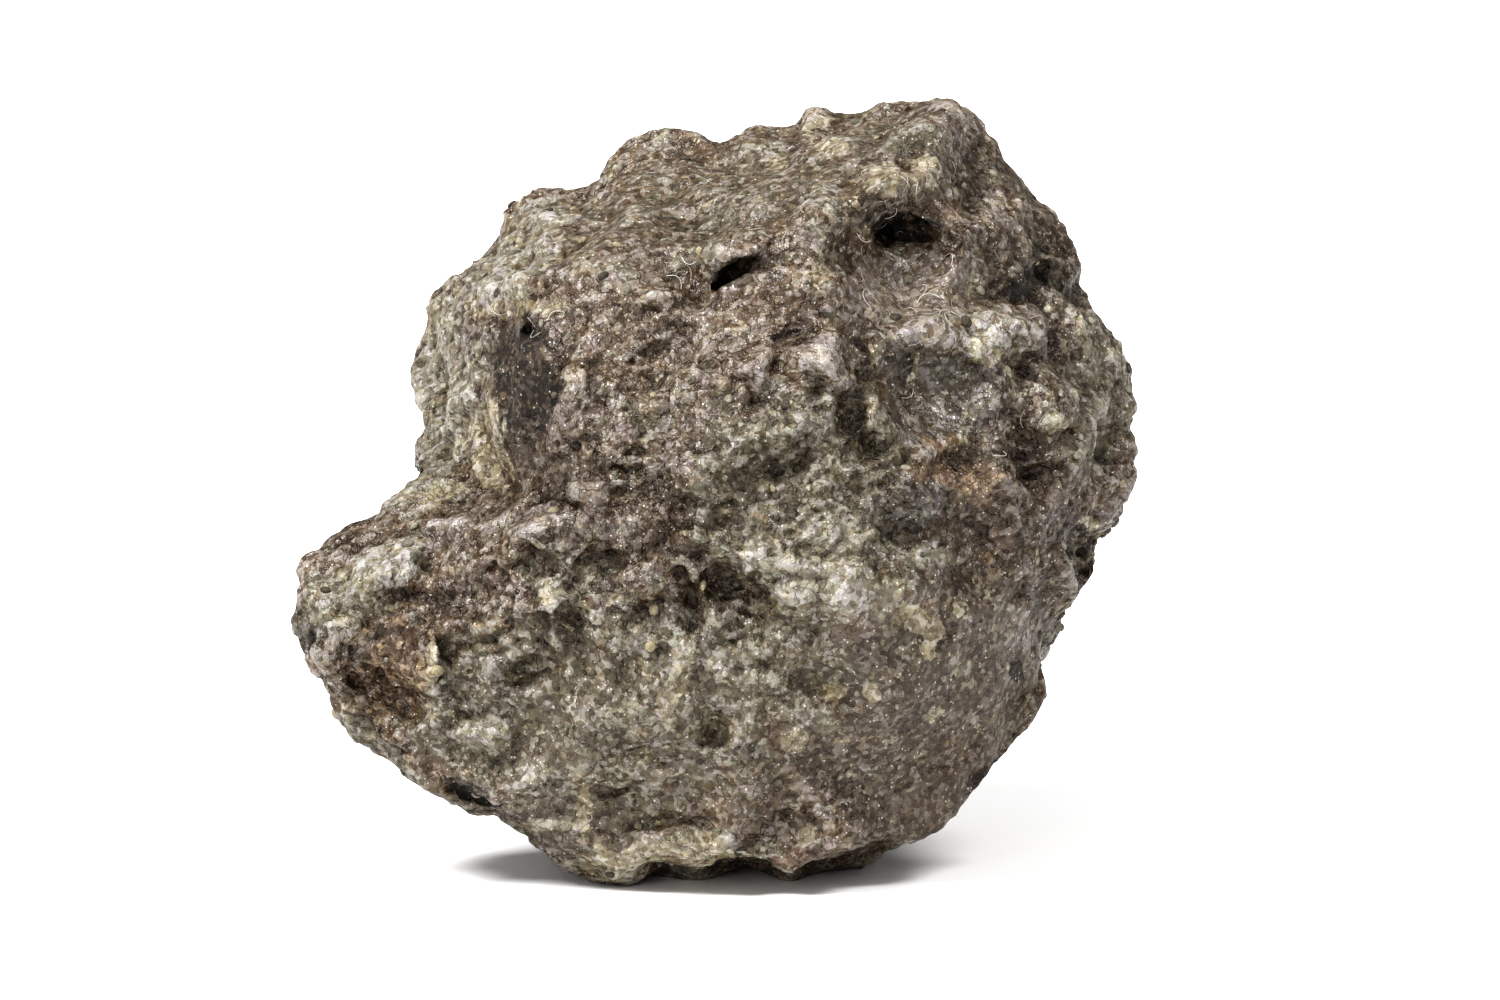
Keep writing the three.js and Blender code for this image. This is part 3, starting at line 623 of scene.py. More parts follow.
def face_minerals() -> dict[Mineral, list[Spot]]:
    """List where each mineral shows on the stone's face, and how strongly."""
    return {
        # dark brown crust on the dark wall and lower right, and painted shade in the pit, crevice, slit,
        # hollows, under the knob and rims and over the darker right side
        Mineral.UMBER: [
            spot(-9.6, 5.1, (2.0, 4.0), 7, 3.0),
            spot(-7.6, 0.4, (2.6, 1.6), 30, 0.8),
            spot(-5.6, -0.6, (3.8, 2.6), 10, 1.1),
            spot(-1.6, -4.8, (2.4, 2.4), 0, 0.7),
            spot(0.4, 2.6, (3.4, 1.5), 10, 0.5),
            spot(5.4, 4.2, (1.4, 2.4), -10, 0.8),
            spot(4.2, 12.2, (2.4, 1.2), 25, 0.7),
            spot(-0.6, 12.6, (2.6, 0.9), 18, 0.5),
            spot(14.2, 12.8, (2.2, 4.0), 25, 2.2),
            spot(10.4, 16.2, (3.2, 1.6), -20, 0.7),
            spot(9.8, -11.0, (5.6, 4.8), 20, 2.6),
            spot(15.6, 9.0, (1.6, 1.8), 0, 0.6),
            spot(13.8, 6.0, (2.4, 2.6), 0, 0.7),
            spot(13.2, -1.2, (3.8, 3.6), 0, 2.4),
            spot(8.2, -0.6, (1.9, 1.7), 0, 0.8),
            spot(10.6, -8.6, (4.4, 1.3), 25, 0.6),
            spot(11.8, -13.0, (2.0, 2.6), -40, 0.6),
            spot(-16.4, -6.6, (2.2, 2.4), 0, 0.8),
            spot(-13.4, -5.2, (1.8, 1.4), 0, 0.5),
            spot(-10.4, 8.2, (2.1, 0.8), 3, 1.1),
            spot(-9.8, 1.5, (1.4, 0.8), -30, 0.9),
            spot(7.8, 12.8, (2.7, 1.5), -10, 1.7),
            spot(15.2, 10.0, (2.0, 1.3), -18, 1.9),
            spot(13.2, 7.2, (0.9, 1.2), 0, 0.9),
            spot(14.8, 4.6, (1.6, 1.1), 0, 0.8),
            spot(5.8, 6.0, (0.8, 1.8), 0, 1.1),
            spot(3.0, 7.6, (1.2, 0.7), 10, 1.0),
            spot(4.6, 4.9, (1.5, 0.7), -15, 1.0),
            spot(8.6, -1.0, (1.3, 0.6), 0, 0.9),
            spot(14.0, 1.8, (1.8, 2.4), 0, 0.9),
            spot(0.3, -3.8, (1.6, 1.0), 10, 0.6),
            spot(-1.9, -5.0, (0.7, 1.6), 10, 0.9),
            spot(-3.9, -8.4, (0.6, 1.5), -12, 0.8),
            spot(9.4, -8.7, (1.6, 0.7), 10, 0.9),
            spot(-7.8, -16.7, (2.4, 0.7), -35, 1.6),
            spot(-17.0, -7.0, (0.8, 1.2), 20, 0.9),
        ],
        # painted shade: near-black in the pit, slit, crevice, scoops, the dark wall's recess and under the
        # lobe
        Mineral.SOOT: [
            spot(-9.6, 5.3, (1.8, 3.5), 7, 0.62),
            spot(-10.0, 11.7, (0.5, 0.4), 0, 0.5),
            spot(-9.3, 7.6, (0.6, 0.45), 0, 1.8),
            spot(8.0, 13.0, (1.7, 0.85), -8, 0.5),
            spot(7.5, 12.8, (0.75, 0.55), -8, 0.9),
            spot(8.9, 13.1, (1.3, 0.35), -10, 0.9),
            spot(0.3, 10.4, (0.9, 0.3), 14, 1.0),
            spot(14.1, 10.3, (0.75, 0.6), 0, 1.8),
            spot(8.3, 5.2, (0.3, 1.9), -10, 0.5),
            spot(16.6, -1.6, (0.35, 0.45), 0, 1.0),
            spot(13.5, -8.1, (0.3, 0.45), -10, 1.0),
            spot(12.2, -13.3, (0.6, 1.2), -48, 0.7),
            spot(-12.2, -13.8, (1.3, 0.45), -28, 0.8),
        ],
        Mineral.RUST: [
            spot(7.4, 14.8, (3.0, 0.8), 8, 0.6),
            spot(-11.2, 2.3, (0.8, 1.7), 10, 0.8),
            spot(6.4, 11.7, (1.0, 1.3), 0, 0.6),
            spot(5.0, 5.7, (0.6, 0.4), 0, 0.8),
            spot(7.3, 0.5, (0.4, 0.4), 0, 1.0),
            spot(10.6, 1.2, (2.4, 1.4), 0, 0.8),
            spot(12.4, -2.4, (3.2, 1.6), 0, 0.35),
            spot(3.1, -17.4, (0.9, 0.9), 0, 0.7),
            spot(-15.6, -7.4, (1.9, 2.2), 20, 1.0),
            spot(-16.3, -9.3, (0.5, 0.8), 10, 1.0),
            spot(-16.6, -10.5, (1.5, 0.4), -32, 0.8),
            spot(-13.9, -13.0, (1.6, 0.5), -32, 0.6),
        ],
        Mineral.SLAB: [
            spot(10.2, 4.9, (2.3, 2.0), -10, 2.2),
            spot(8.4, 6.9, (1.2, 1.2), 0, 0.7),
            spot(8.5, -0.2, (1.4, 1.3), 0, 0.9),
            spot(6.1, -8.8, (0.6, 0.4), -30, 0.7),
            spot(-20.0, -6.4, (0.8, 1.2), 0, 0.9),
        ],
        # glossy lilac-grey skin painted lighter as painted highlights, on the thumbprint's floor and scaly
        # facets
        Mineral.SHEEN: [
            spot(8.7, 9.9, (2.3, 1.7), -25, 2.4),
            spot(-6.0, 4.2, (1.6, 1.9), 0, 0.6),
            spot(4.9, 6.2, (1.2, 1.4), 0, 1.0),
            spot(-2.4, 1.8, (2.2, 1.4), 10, 0.6),
            spot(-9.2, -0.9, (1.4, 0.7), 15, 0.9),
            spot(2.3, 10.6, (1.0, 0.45), 10, 0.9),
            spot(12.4, 13.7, (0.7, 0.8), 0, 1.0),
            spot(-13.4, -1.8, (1.6, 1.0), 30, 0.7),
            spot(-11.2, -4.4, (1.5, 0.8), 0, 0.7),
        ],
        Mineral.OLIVE: [
            spot(-2.0, 13.6, (7.5, 2.6), 18, 0.6),
            spot(4.5, 15.2, (4.5, 1.8), 10, 0.6),
            spot(9.7, 15.0, (0.9, 0.8), 0, 0.9),
            spot(7.6, 17.0, (3.4, 0.9), 5, 0.6),
            spot(17.4, 5.5, (1.6, 4.4), -8, 0.8),
            spot(16.7, -3.4, (1.0, 2.2), 0, 0.7),
            spot(3.4, 0.0, (4.8, 4.6), 20, 1.6),
            spot(6.6, 2.6, (1.8, 3.2), 0, 0.8),
            spot(-1.6, 3.6, (3.0, 1.6), 10, 0.5),
            spot(-4.6, -1.6, (2.2, 1.2), 0, 0.35),
            spot(-4.6, -10.0, (7.2, 6.2), 0, 0.8),
            spot(1.8, -7.6, (4.4, 3.6), 0, 0.8),
            spot(13.9, -10.2, (1.0, 2.2), -24, 0.6),
            spot(-11.0, -9.4, (4.2, 4.4), 0, 0.9),
            spot(-19.0, -5.0, (1.4, 2.2), 0, 0.8),
        ],
        Mineral.PALE: [
            spot(-10.6, 11.8, (3.2, 1.8), 42, 0.95),
            spot(-8.7, 13.7, (1.2, 0.9), 20, 0.8),
            spot(-2.8, 17.2, (1.6, 0.7), 0, 0.5),
            spot(-13.8, 5.2, (2.0, 4.6), 4, 1.0),
            spot(-14.6, 1.2, (2.2, 1.6), 0, 0.9),
            spot(12.2, 8.4, (1.9, 1.7), -25, 0.7),
            spot(5.1, -1.9, (1.6, 1.3), 0, 0.9),
            spot(3.8, -3.9, (2.3, 1.4), 10, 0.95),
            spot(6.7, -4.5, (1.4, 0.9), 0, 0.8),
            spot(0.5, -2.3, (1.7, 1.0), 20, 0.6),
            spot(9.3, -2.6, (1.8, 0.6), 5, 0.7),
            spot(-2.6, 5.3, (1.5, 0.6), 10, 0.4),
            spot(-8.1, -4.9, (1.3, 0.9), -15, 0.9),
            spot(-0.8, -7.4, (0.8, 0.7), 0, 0.8),
            spot(10.9, -7.9, (0.7, 0.4), 0, 0.9),
            spot(4.6, -10.7, (0.5, 0.4), 0, 1.0),
            spot(-2.8, -17.0, (4.6, 1.1), 3, 1.6),
            spot(-15.8, -2.7, (2.3, 1.1), 22, 0.95),
            spot(-17.6, -4.4, (2.6, 1.6), 30, 0.6),
            spot(-13.7, -8.6, (0.6, 1.6), 0, 0.6),
            spot(-11.5, -11.2, (1.1, 0.9), 0, 1.1),
            spot(-9.4, -12.9, (0.6, 0.5), 0, 1.4),
        ],
        Mineral.CREAM: [
            spot(3.9, 17.9, (0.8, 0.6), 0, 0.9),
            spot(4.6, 16.7, (1.0, 0.5), -15, 0.8),
            spot(2.4, 15.9, (0.5, 0.6), 0, 0.7),
            spot(8.0, 15.1, (2.2, 1.0), 10, 0.6),
            spot(-11.4, 2.7, (0.9, 2.1), 10, 1.3),
            spot(-10.2, 9.2, (2.3, 0.6), 2, 0.75),
            spot(-13.4, 0.2, (1.2, 0.4), 25, 0.8),
            spot(12.0, 6.9, (0.8, 0.6), -30, 1.0),
            spot(10.6, 8.9, (1.9, 0.22), 50, 0.9),
            spot(8.5, 5.5, (0.14, 1.8), -17, 0.9),
            spot(15.3, 3.6, (0.65, 0.6), 0, 0.9),
            spot(17.0, -1.1, (0.45, 0.5), 0, 1.0),
            spot(-8.7, -4.4, (0.5, 0.35), 0, 0.7),
            spot(-2.3, -8.0, (0.45, 1.7), -14, 1.2),
            spot(-3.0, -10.0, (0.45, 1.0), 10, 1.1),
            spot(9.1, -5.7, (1.2, 0.5), -38, 1.5),
            spot(11.0, -5.3, (0.4, 0.35), 0, 1.3),
            spot(9.4, -7.0, (0.4, 0.4), 0, 1.2),
            spot(4.8, -9.1, (0.6, 0.5), 0, 1.6),
            spot(6.6, -9.3, (0.45, 0.4), -40, 1.2),
            spot(3.0, -11.3, (0.65, 0.5), 0, 1.5),
            spot(4.0, -7.4, (0.5, 0.2), 10, 0.7),
            spot(3.5, -16.0, (0.5, 0.6), -30, 0.9),
            spot(-3.0, -17.1, (4.2, 1.0), 2, 1.6),
            spot(-6.9, -14.6, (0.35, 1.2), 0, 1.2),
            spot(-8.7, -15.4, (1.3, 0.3), 0, 1.0),
            spot(-14.1, -7.2, (0.3, 0.6), 0, 0.8),
            spot(-18.6, -9.6, (0.3, 0.6), 40, 0.7),
        ],
    }


@dataclass(frozen=True)
class Ledges:
    """The broken edges of thin layers: the size of their sheets, how far the sheets rise and fall, and the
    height of each step."""

    size: float
    rise: float
    step: float


@dataclass
class FineRelief:
    """The relief that is too fine for the part's own solid: lumps, layers, pits and grains."""

    usual: float = 0.5
    lump_size: float = 1.9
    lump_height: float = 0.26
    lump_bends: Place = (2.4, 1.1)  # the size and reach of the bends in the lumps' edges
    ledges: tuple[Ledges, ...] = (Ledges(2.9, 1.15, 0.36), Ledges(1.3, 0.42, 0.15))
    ledge_edge: float = 0.66  # how much of each step is flat
    ledge_run: tuple[float, float, float] = (0.93, 0.1, 0.35)  # the way that the layers run
    ledge_stretch: float = 1.7
    ridge_size: float = 1.5
    ridge_height: float = 0.34
    pit_size: float = 1.3
    pit_depth: float = 0.4
    pit_from: float = 0.36  # how deep the noise dips before a pit opens
    grain_size: float = 0.5
    grain_height: float = 0.1
    zones: list[Spot] = field(default_factory=lambda: [
        spot(0.0, 2.0, (9.5, 6.5), 0, 0.7),
        spot(0.0, 14.5, (10.0, 3.4), 15, 0.35),
        spot(-9.0, -5.0, (6.0, 3.0), 15, 0.9),
        spot(-16.5, -6.5, (4.5, 5.0), 0, 0.65),
        spot(14.5, 4.5, (4.5, 6.5), 0, 0.6),
        spot(10.0, -9.8, (6.6, 7.0), 20, 0.16),
        spot(9.6, 4.8, (2.7, 2.4), -10, 0.16),
        spot(8.7, 10.0, (3.2, 2.4), -20, 0.12),
        spot(-9.8, 4.8, (1.8, 3.8), -6, 0.32),
        spot(-4.0, -11.6, (8.0, 5.0), 0, 0.36),
        spot(11.0, 15.4, (3.6, 2.6), -20, 0.4),
    ])

    def __post_init__(self) -> None:
        """Give each layer its own noise."""
        self.lumps = LatticeNoise(11)
        self.sheets = LatticeNoise(23)
        self.grains = LatticeNoise(43)
        self.pits = LatticeNoise(57)
        self.bends = [LatticeNoise(71), LatticeNoise(73), LatticeNoise(79)]

    def amount_at(self, across: Array, up: Array, front: Array) -> Array:
        """Give how rough the stone is at places.

        Args:
            across: Places across the face.
            up: Places up the face.
            front: The share of each place that belongs to the front.

        Returns:
            The amount of fine relief, about 0.2 to 0.8.
        """
        amount = np.full(len(across), self.usual)
        for item in self.zones:
            inside = 1.0 - smoothstep(item.oval.share_at(across, up), 0.5, 1.3)
            amount += (item.amount - amount) * inside
        return self.usual + (amount - self.usual) * front

    def _bent(self, points: Array, size: float, reach: float) -> Array:
        """Push points about by noise, so that cells lose their straight edges."""
        return points + reach * np.stack([noise.smooth(points / size) for noise in self.bends], axis=1)

    def _layers(self, points: Array) -> Array:
        """Give the height of the broken layers, in mm."""
        run = np.array(self.ledge_run) / np.linalg.norm(self.ledge_run)
        drawn = points - (points @ run)[:, None] * run * (1.0 - 1.0 / self.ledge_stretch)
        total = np.zeros(len(points))
        for ledge in self.ledges:
            cloud = np.zeros(len(points))
            for octave, share in enumerate((1.0, 0.5, 0.28)):
                cloud += share * self.sheets.smooth(drawn / ledge.size * 2.0**octave + 13.0 * octave)
            level = cloud * ledge.rise / ledge.step
            whole = np.floor(level)
            total += ledge.step * (whole + smoothstep(level - whole, self.ledge_edge, 1.0))
        return total

    def _ridges(self, points: Array) -> Array:
        """Give rounded hollows with sharp ridges between them, from about -0.6 to 0.6."""
        total = np.zeros(len(points))
        strength = 1.0
        size = self.ridge_size
        for octave in range(3):
            total += strength * (0.28 - np.abs(self.grains.smooth(points / size + 17.0 * octave)))
            strength *= 0.6
            size *= 0.5
        return total

    def height_at(self, points: Array, amount: Array) -> Array:
        """Give the height of the fine relief.

        Args:
            points: Points of the stone's surface as rows of x, y and z in mm.
            amount: How rough the stone is at each.

        Returns:
            Heights in mm.
        """
        lump = self.lumps.cells(self._bent(points, *self.lump_bends) / self.lump_size)
        rounded = 0.55 - lump.nearest**2 * 1.6 + 0.25 * lump.kind
        height = self.lump_height * rounded + self._layers(points)
        height += self.ridge_height * self._ridges(points)
        coarse = points / self.pit_size
        cloud = self.pits.smooth(coarse) + 0.35 * self.pits.smooth(coarse * 2.3)
        height += self.pit_depth * 2.6 * np.minimum(cloud + self.pit_from, 0.0)
        grain = self.grains.smooth(points / self.grain_size)
        return amount * height + (0.35 + 0.65 * amount) * self.grain_height * grain


@dataclass
class MineralMap:
    """Where each mineral shows: patches listed for the face, and scattered ones everywhere else."""

    patches: dict[Mineral, list[Spot]] = field(default_factory=face_minerals)
    usual: dict[Mineral, tuple[float, float, int]] = field(default_factory=lambda: {  # size, share and seed
        Mineral.OLIVE: (5.2, 0.42, 101),
        Mineral.PALE: (3.6, 0.2, 103),
        Mineral.CREAM: (1.9, 0.08, 107),
        Mineral.RUST: (4.2, 0.2, 109),
        Mineral.SLAB: (3.4, 0.14, 113),
        Mineral.SOOT: (2.4, 0.02, 127),
        Mineral.UMBER: (4.6, 0.3, 139),
        Mineral.SHEEN: (2.6, 0.16, 149),
    })
    face_share: float = 0.7  # how much of the scattered patches is left on the face
    bend_reach: float = 0.75  # how far a patch's edge bends, as a share of its half size
    bend_limit: float = 1.5  # and the largest half size that counts, in mm
    bend_sizes: Place = (0.9, 2.0)  # the sizes of the bends themselves, in mm
    bend_seeds: tuple[int, int] = (131, 137)
    edge_reach: float = 1.7  # how far a patch fades out, in squared half sizes
    edge_gain: float = 1.3  # how full it is at its middle before it is cut off at 1
    usual_gain: float = 0.75  # how strongly the scattered patches rise and fall

    def weights(self, across: Array, up: Array, points: Array, front: Array) -> dict[Mineral, Array]:
        """Weigh each mineral at places of the surface.

        Args:
            across: Places across the face.
            up: Places up the face.
            points: The same places as rows of x, y and z in mm.
            front: The share of each place that belongs to the front.

        Returns:
            For each mineral its weight, about 0 to 1: it shows where that passes about a half.
        """
        small, large = self.bend_sizes
        bend = [
            LatticeNoise(seed).smooth(points / small) + LatticeNoise(seed + 1).smooth(points / large)
            for seed in self.bend_seeds
        ]
        left = 1.0 - front * (1.0 - self.face_share)
        found = {}
        for mineral, (size, share, seed) in self.usual.items():
            noise = LatticeNoise(seed).smooth(points / size)
            found[mineral] = np.clip(share + self.usual_gain * noise, 0.0, 1.0) * left
        for mineral, patches in self.patches.items():
            for patch in patches:
                reach = self.bend_reach * min(*patch.oval.half, self.bend_limit)
                share = patch.oval.share_at(across + reach * bend[0], up + reach * bend[1])
                inside = np.clip(self.edge_gain * (1.0 - share / self.edge_reach), 0.0, 1.0)
                found[mineral] = np.maximum(found[mineral], patch.amount * inside * front)
        return found


@dataclass(frozen=True)
class GeodesicBall:
    """A ball of even triangles, crowded towards one side."""

    splits: int = 98
    crowding: float = 0.24  # how much finer the front is split than the back

    def directions(self) -> tuple[Array, Array]:
        """Split an icosahedron.

        Returns:
            Unit rows, and the triangles as rows of three indices.
        """
        golden = (1.0 + math.sqrt(5.0)) / 2.0
        corners = [(-1, golden, 0), (1, golden, 0), (-1, -golden, 0), (1, -golden, 0)]
        corners += [(z, x, y) for x, y, z in corners] + [(y, z, x) for x, y, z in corners]
        corner_rows = np.array(corners, float) / math.hypot(1.0, golden)
        gaps = np.linalg.norm(corner_rows[:, None] - corner_rows[None], axis=2)
        edge = np.min(gaps[gaps > 0.1])
        touching = gaps < edge * 1.01
        faces = [
            (a, b, c)
            for a in range(12) for b in range(a + 1, 12) for c in range(b + 1, 12)
            if touching[a, b] and touching[b, c] and touching[a, c]
        ]
        rows, triangles = self._split_faces(corner_rows, faces)
        _, first, place = np.unique(np.round(rows, 6), axis=0, return_index=True, return_inverse=True)
        merged = rows[first]
        merged[:, 1] -= self.crowding
        merged /= np.linalg.norm(merged, axis=1)[:, None]
        return merged, place.reshape(-1)[triangles]

    def _split_faces(self, corners: Array, faces: list[tuple[int, int, int]]) -> tuple[Array, Array]:
        """Lay a triangular grid on each face.

        Args:
            corners: The icosahedron's corners.
            faces: Its faces, as three corner numbers each.

        Returns:
            Unit rows with doubles along the edges, and triangles that face outwards.
        """
        n = self.splits
        grid = [(i, j) for i in range(n + 1) for j in range(n + 1 - i)]
        number = {place: k for k, place in enumerate(grid)}
        cells = [(number[i, j], number[i + 1, j], number[i, j + 1]) for i in range(n) for j in range(n - i)]
        cells += [
            (number[i + 1, j], number[i + 1, j + 1], number[i, j + 1])
            for i in range(n - 1) for j in range(n - 1 - i)
        ]
        share = np.array(grid, float) / n
        rows = []
        triangles = []
        for a, b, c in faces:
            ends = corners[[a, b, c]]
            if np.linalg.det(ends) < 0:
                ends = ends[[0, 2, 1]]
            flat = ends[0] + share[:, :1] * (ends[1] - ends[0]) + share[:, 1:] * (ends[2] - ends[0])
            triangles.append(np.array(cells) + len(rows) * len(grid))
            rows.append(flat / np.linalg.norm(flat, axis=1)[:, None])
        return np.concatenate(rows), np.concatenate(triangles)


def linear(colour: Rgb) -> Rgba:
    """Turn an sRGB colour as it looks in the studio into the surface's own, linear and with full alpha."""
    shares = [value / 255.0 for value in colour]
    plain = [x / 12.92 if x <= 0.04045 else ((x + 0.055) / 1.055) ** 2.4 for x in shares]
    return plain[0] / LAMP_GAIN, plain[1] / LAMP_GAIN, plain[2] / LAMP_GAIN, 1.0


class Wiring:
    """A hand for wiring the nodes of one tree."""

    def __init__(self, tree: bpy.types.NodeTree) -> None:
        """Keep the tree."""
        self.tree = tree

    def node(self, kind: str, inputs: Inputs | None = None, **settings: object) -> bpy.types.Node:
        """Add a node.

        Args:
            kind: The node's type.
            inputs: A socket or a constant for each input that isn't left as it is, by name or number.
            settings: The node's own properties.

        Returns:
            The node.
        """
        made = self.tree.nodes.new(kind)
        for name, value in settings.items():
            setattr(made, name, value)
        for place, value in (inputs or {}).items():
            self.feed(made.inputs[place], value)
        return made

    def feed(self, socket: Socket, value: object) -> None:
        """Link another socket to a socket, or set it to a constant."""
        if isinstance(value, bpy.types.NodeSocket):
            self.tree.links.new(value, socket)
        else:
            socket.default_value = value

    def math(self, operation: str, *values: object) -> Socket:
        """Do a sum on numbers or sockets."""
        return self.node("ShaderNodeMath", dict(enumerate(values)), operation=operation).outputs[0]


class Shading(Wiring):
    """A hand for wiring one material's nodes. Sizes are in mm, on Object coordinates."""

    def __init__(self, name: str) -> None:
        """Start a material with its coordinates."""
        self.material = bpy.data.materials.new(name)
        self.material.use_nodes = True
        super().__init__(self.material.node_tree)
        self.tree.nodes.clear()
        self.coords = self.node("ShaderNodeTexCoord").outputs["Object"]

    def attribute(self, name: str) -> Socket:
        """Read a number that the mesh holds at each vertex."""
        return self.node("ShaderNodeAttribute", attribute_name=name).outputs["Fac"]

    def noise(self, size: float, detail: float, roughness: float, seed: float) -> Socket:
        """Add cloudy noise.

        Args:
            size: The size of its largest clouds in mm.
            detail: How many finer sizes are laid over it.
            roughness: How strong the finer sizes are.
            seed: Sets it apart from other noises.

        Returns:
            The noise, about 0.2 to 0.8.
        """
        apart = (0.11 * seed, 0.07 * seed, 0.05 * seed)
        shift = self.node("ShaderNodeVectorMath", {0: self.coords, 1: apart}, operation="ADD")
        return self.node("ShaderNodeTexNoise", {
            "Vector": shift.outputs[0],
            "Scale": 1.0 / (size * MM),
            "Detail": detail,
            "Roughness": roughness,
        }).outputs["Fac"]

    def cells(self, size: float, coords: Socket | None = None) -> bpy.types.Node:
        """Add a cell pattern, and give its node."""
        inputs = {"Vector": coords or self.coords, "Scale": 1.0 / (size * MM)}
        return self.node("ShaderNodeTexVoronoi", inputs)

    def warped(self, size: float, reach: float) -> Socket:
        """Give coordinates that are pushed about by clouds of a size in mm, as far as the reach in mm."""
        inputs = {"Vector": self.coords, "Scale": 1.0 / (size * MM), "Detail": 2.0}
        cloud = self.node("ShaderNodeTexNoise", inputs).outputs["Color"]
        push = {0: cloud, 1: (2.0 * reach * MM,) * 3, 2: self.coords}
        return self.node("ShaderNodeVectorMath", push, operation="MULTIPLY_ADD").outputs[0]

    def ramp(self, value: object, low: float, high: float, start: float = 0.0, end: float = 1.0) -> Socket:
        """Ease a value from one number to another between two limits."""
        inputs = {"Value": value, "From Min": low, "From Max": high, "To Min": start, "To Max": end}
        return self.node("ShaderNodeMapRange", inputs, interpolation_type="SMOOTHSTEP").outputs["Result"]

    def total(self, *parts: tuple[Socket, float], start: float = 0.0) -> Socket:
        """Add up sockets, each times its own factor, from a starting number."""
        found: object = start
        for socket, factor in parts:
            found = self.math("MULTIPLY_ADD", socket, factor, found)
        return found

    def channels(self, colour: Socket) -> tuple[Socket, ...]:
        """Part a colour into three numbers."""
        return tuple(self.node("ShaderNodeSeparateColor", {0: colour}).outputs)

    def mix(self, share: object, first: object, second: object, blend: str = "MIX") -> Socket:
        """Mix two colours, given as sockets, as sRGB numbers or with four linear channels."""
        inputs = {0: share}
        for place, colour in ((6, first), (7, second)):
            is_srgb = isinstance(colour, tuple) and len(colour) == 3
            inputs[place] = linear(colour) if is_srgb else colour
        return self.node("ShaderNodeMix", inputs, data_type="RGBA", blend_type=blend).outputs[2]

    def blend(self, share: object, first: object, second: object) -> Socket:
        """Mix two numbers."""
        return self.node("ShaderNodeMix", {0: share, 2: first, 3: second}, data_type="FLOAT").outputs[0]

    def tones(self, tone: Socket, colours: "Tones") -> Socket:
        """Run through a mineral's colours, the darkest at 0 and the lightest at 1."""
        made = self.node("ShaderNodeValToRGB", {0: tone})
        stops = made.color_ramp.elements
        stops.new(0.5)
        for stop, colour in zip(stops, (colours.dark, colours.usual, colours.light)):
            stop.color = linear(colour)
        return made.outputs[0]

    def surface(self, colour: Socket, roughness: Socket, height: Socket,
                gloss: float) -> bpy.types.Material:
        """Finish the material.

        Args:
            colour: The base colour.
            roughness: The roughness.
            height: The height of the finest relief in mm.
            gloss: The strength of the surface's mirror-like reflections.

        Returns:
            The material.
        """
        bump = self.node("ShaderNodeBump", {"Distance": MM, "Height": height})
        shader = self.node("ShaderNodeBsdfPrincipled", {
            "Base Color": colour,
            "Roughness": roughness,
            "Normal": bump.outputs["Normal"],
            "Specular IOR Level": gloss,
        })
        self.node("ShaderNodeOutputMaterial", {"Surface": shader.outputs["BSDF"]})
        return self.material


@dataclass(frozen=True)
class Tones:
    """A mineral's colours as they look in the studio: painted darker as shade in hollows, usually, and
    painted lighter as light on crests.
    """

    dark: Rgb
    usual: Rgb
    light: Rgb


@dataclass(frozen=True)
class Cover:
    """How one mineral shows: its colours, the size of the clouds that break up its edge, how far they
    reach, how fully it covers, and how dull it is."""

    tones: Tones
    size: float
    reach: float
    most: float
    dull: float


@dataclass(frozen=True)
class StonePattern:
    """What the stone's colours and bumps share, so that the colours paint shade into the bumps' hollows and
    light onto their tops. A grain and a chip each have three numbers of their own.
    """

    grain: tuple[Socket, ...]
    chip: tuple[Socket, ...]
    relief: Socket
    cloud: Socket
    crack: Socket
    rough: Socket

    @classmethod
    def wired(cls, wires: Shading) -> "StonePattern":
        """Wire the patterns into a material."""
        crease = wires.noise(1.2, 4.0, 0.55, 11.0)
        return cls(
            grain=wires.channels(wires.cells(0.24, coords=wires.warped(0.3, 0.06)).outputs["Color"]),
            chip=wires.channels(wires.cells(0.62, coords=wires.warped(0.7, 0.2)).outputs["Color"]),
            relief=wires.noise(1.5, 4.5, 0.62, 2.0),
            cloud=wires.noise(2.2, 5.0, 1.0, 3.0),
            crack=wires.ramp(wires.math("ABSOLUTE", wires.math("SUBTRACT", crease, 0.5)), 0.022, 0.0),
            rough=wires.attribute("rough"),
        )


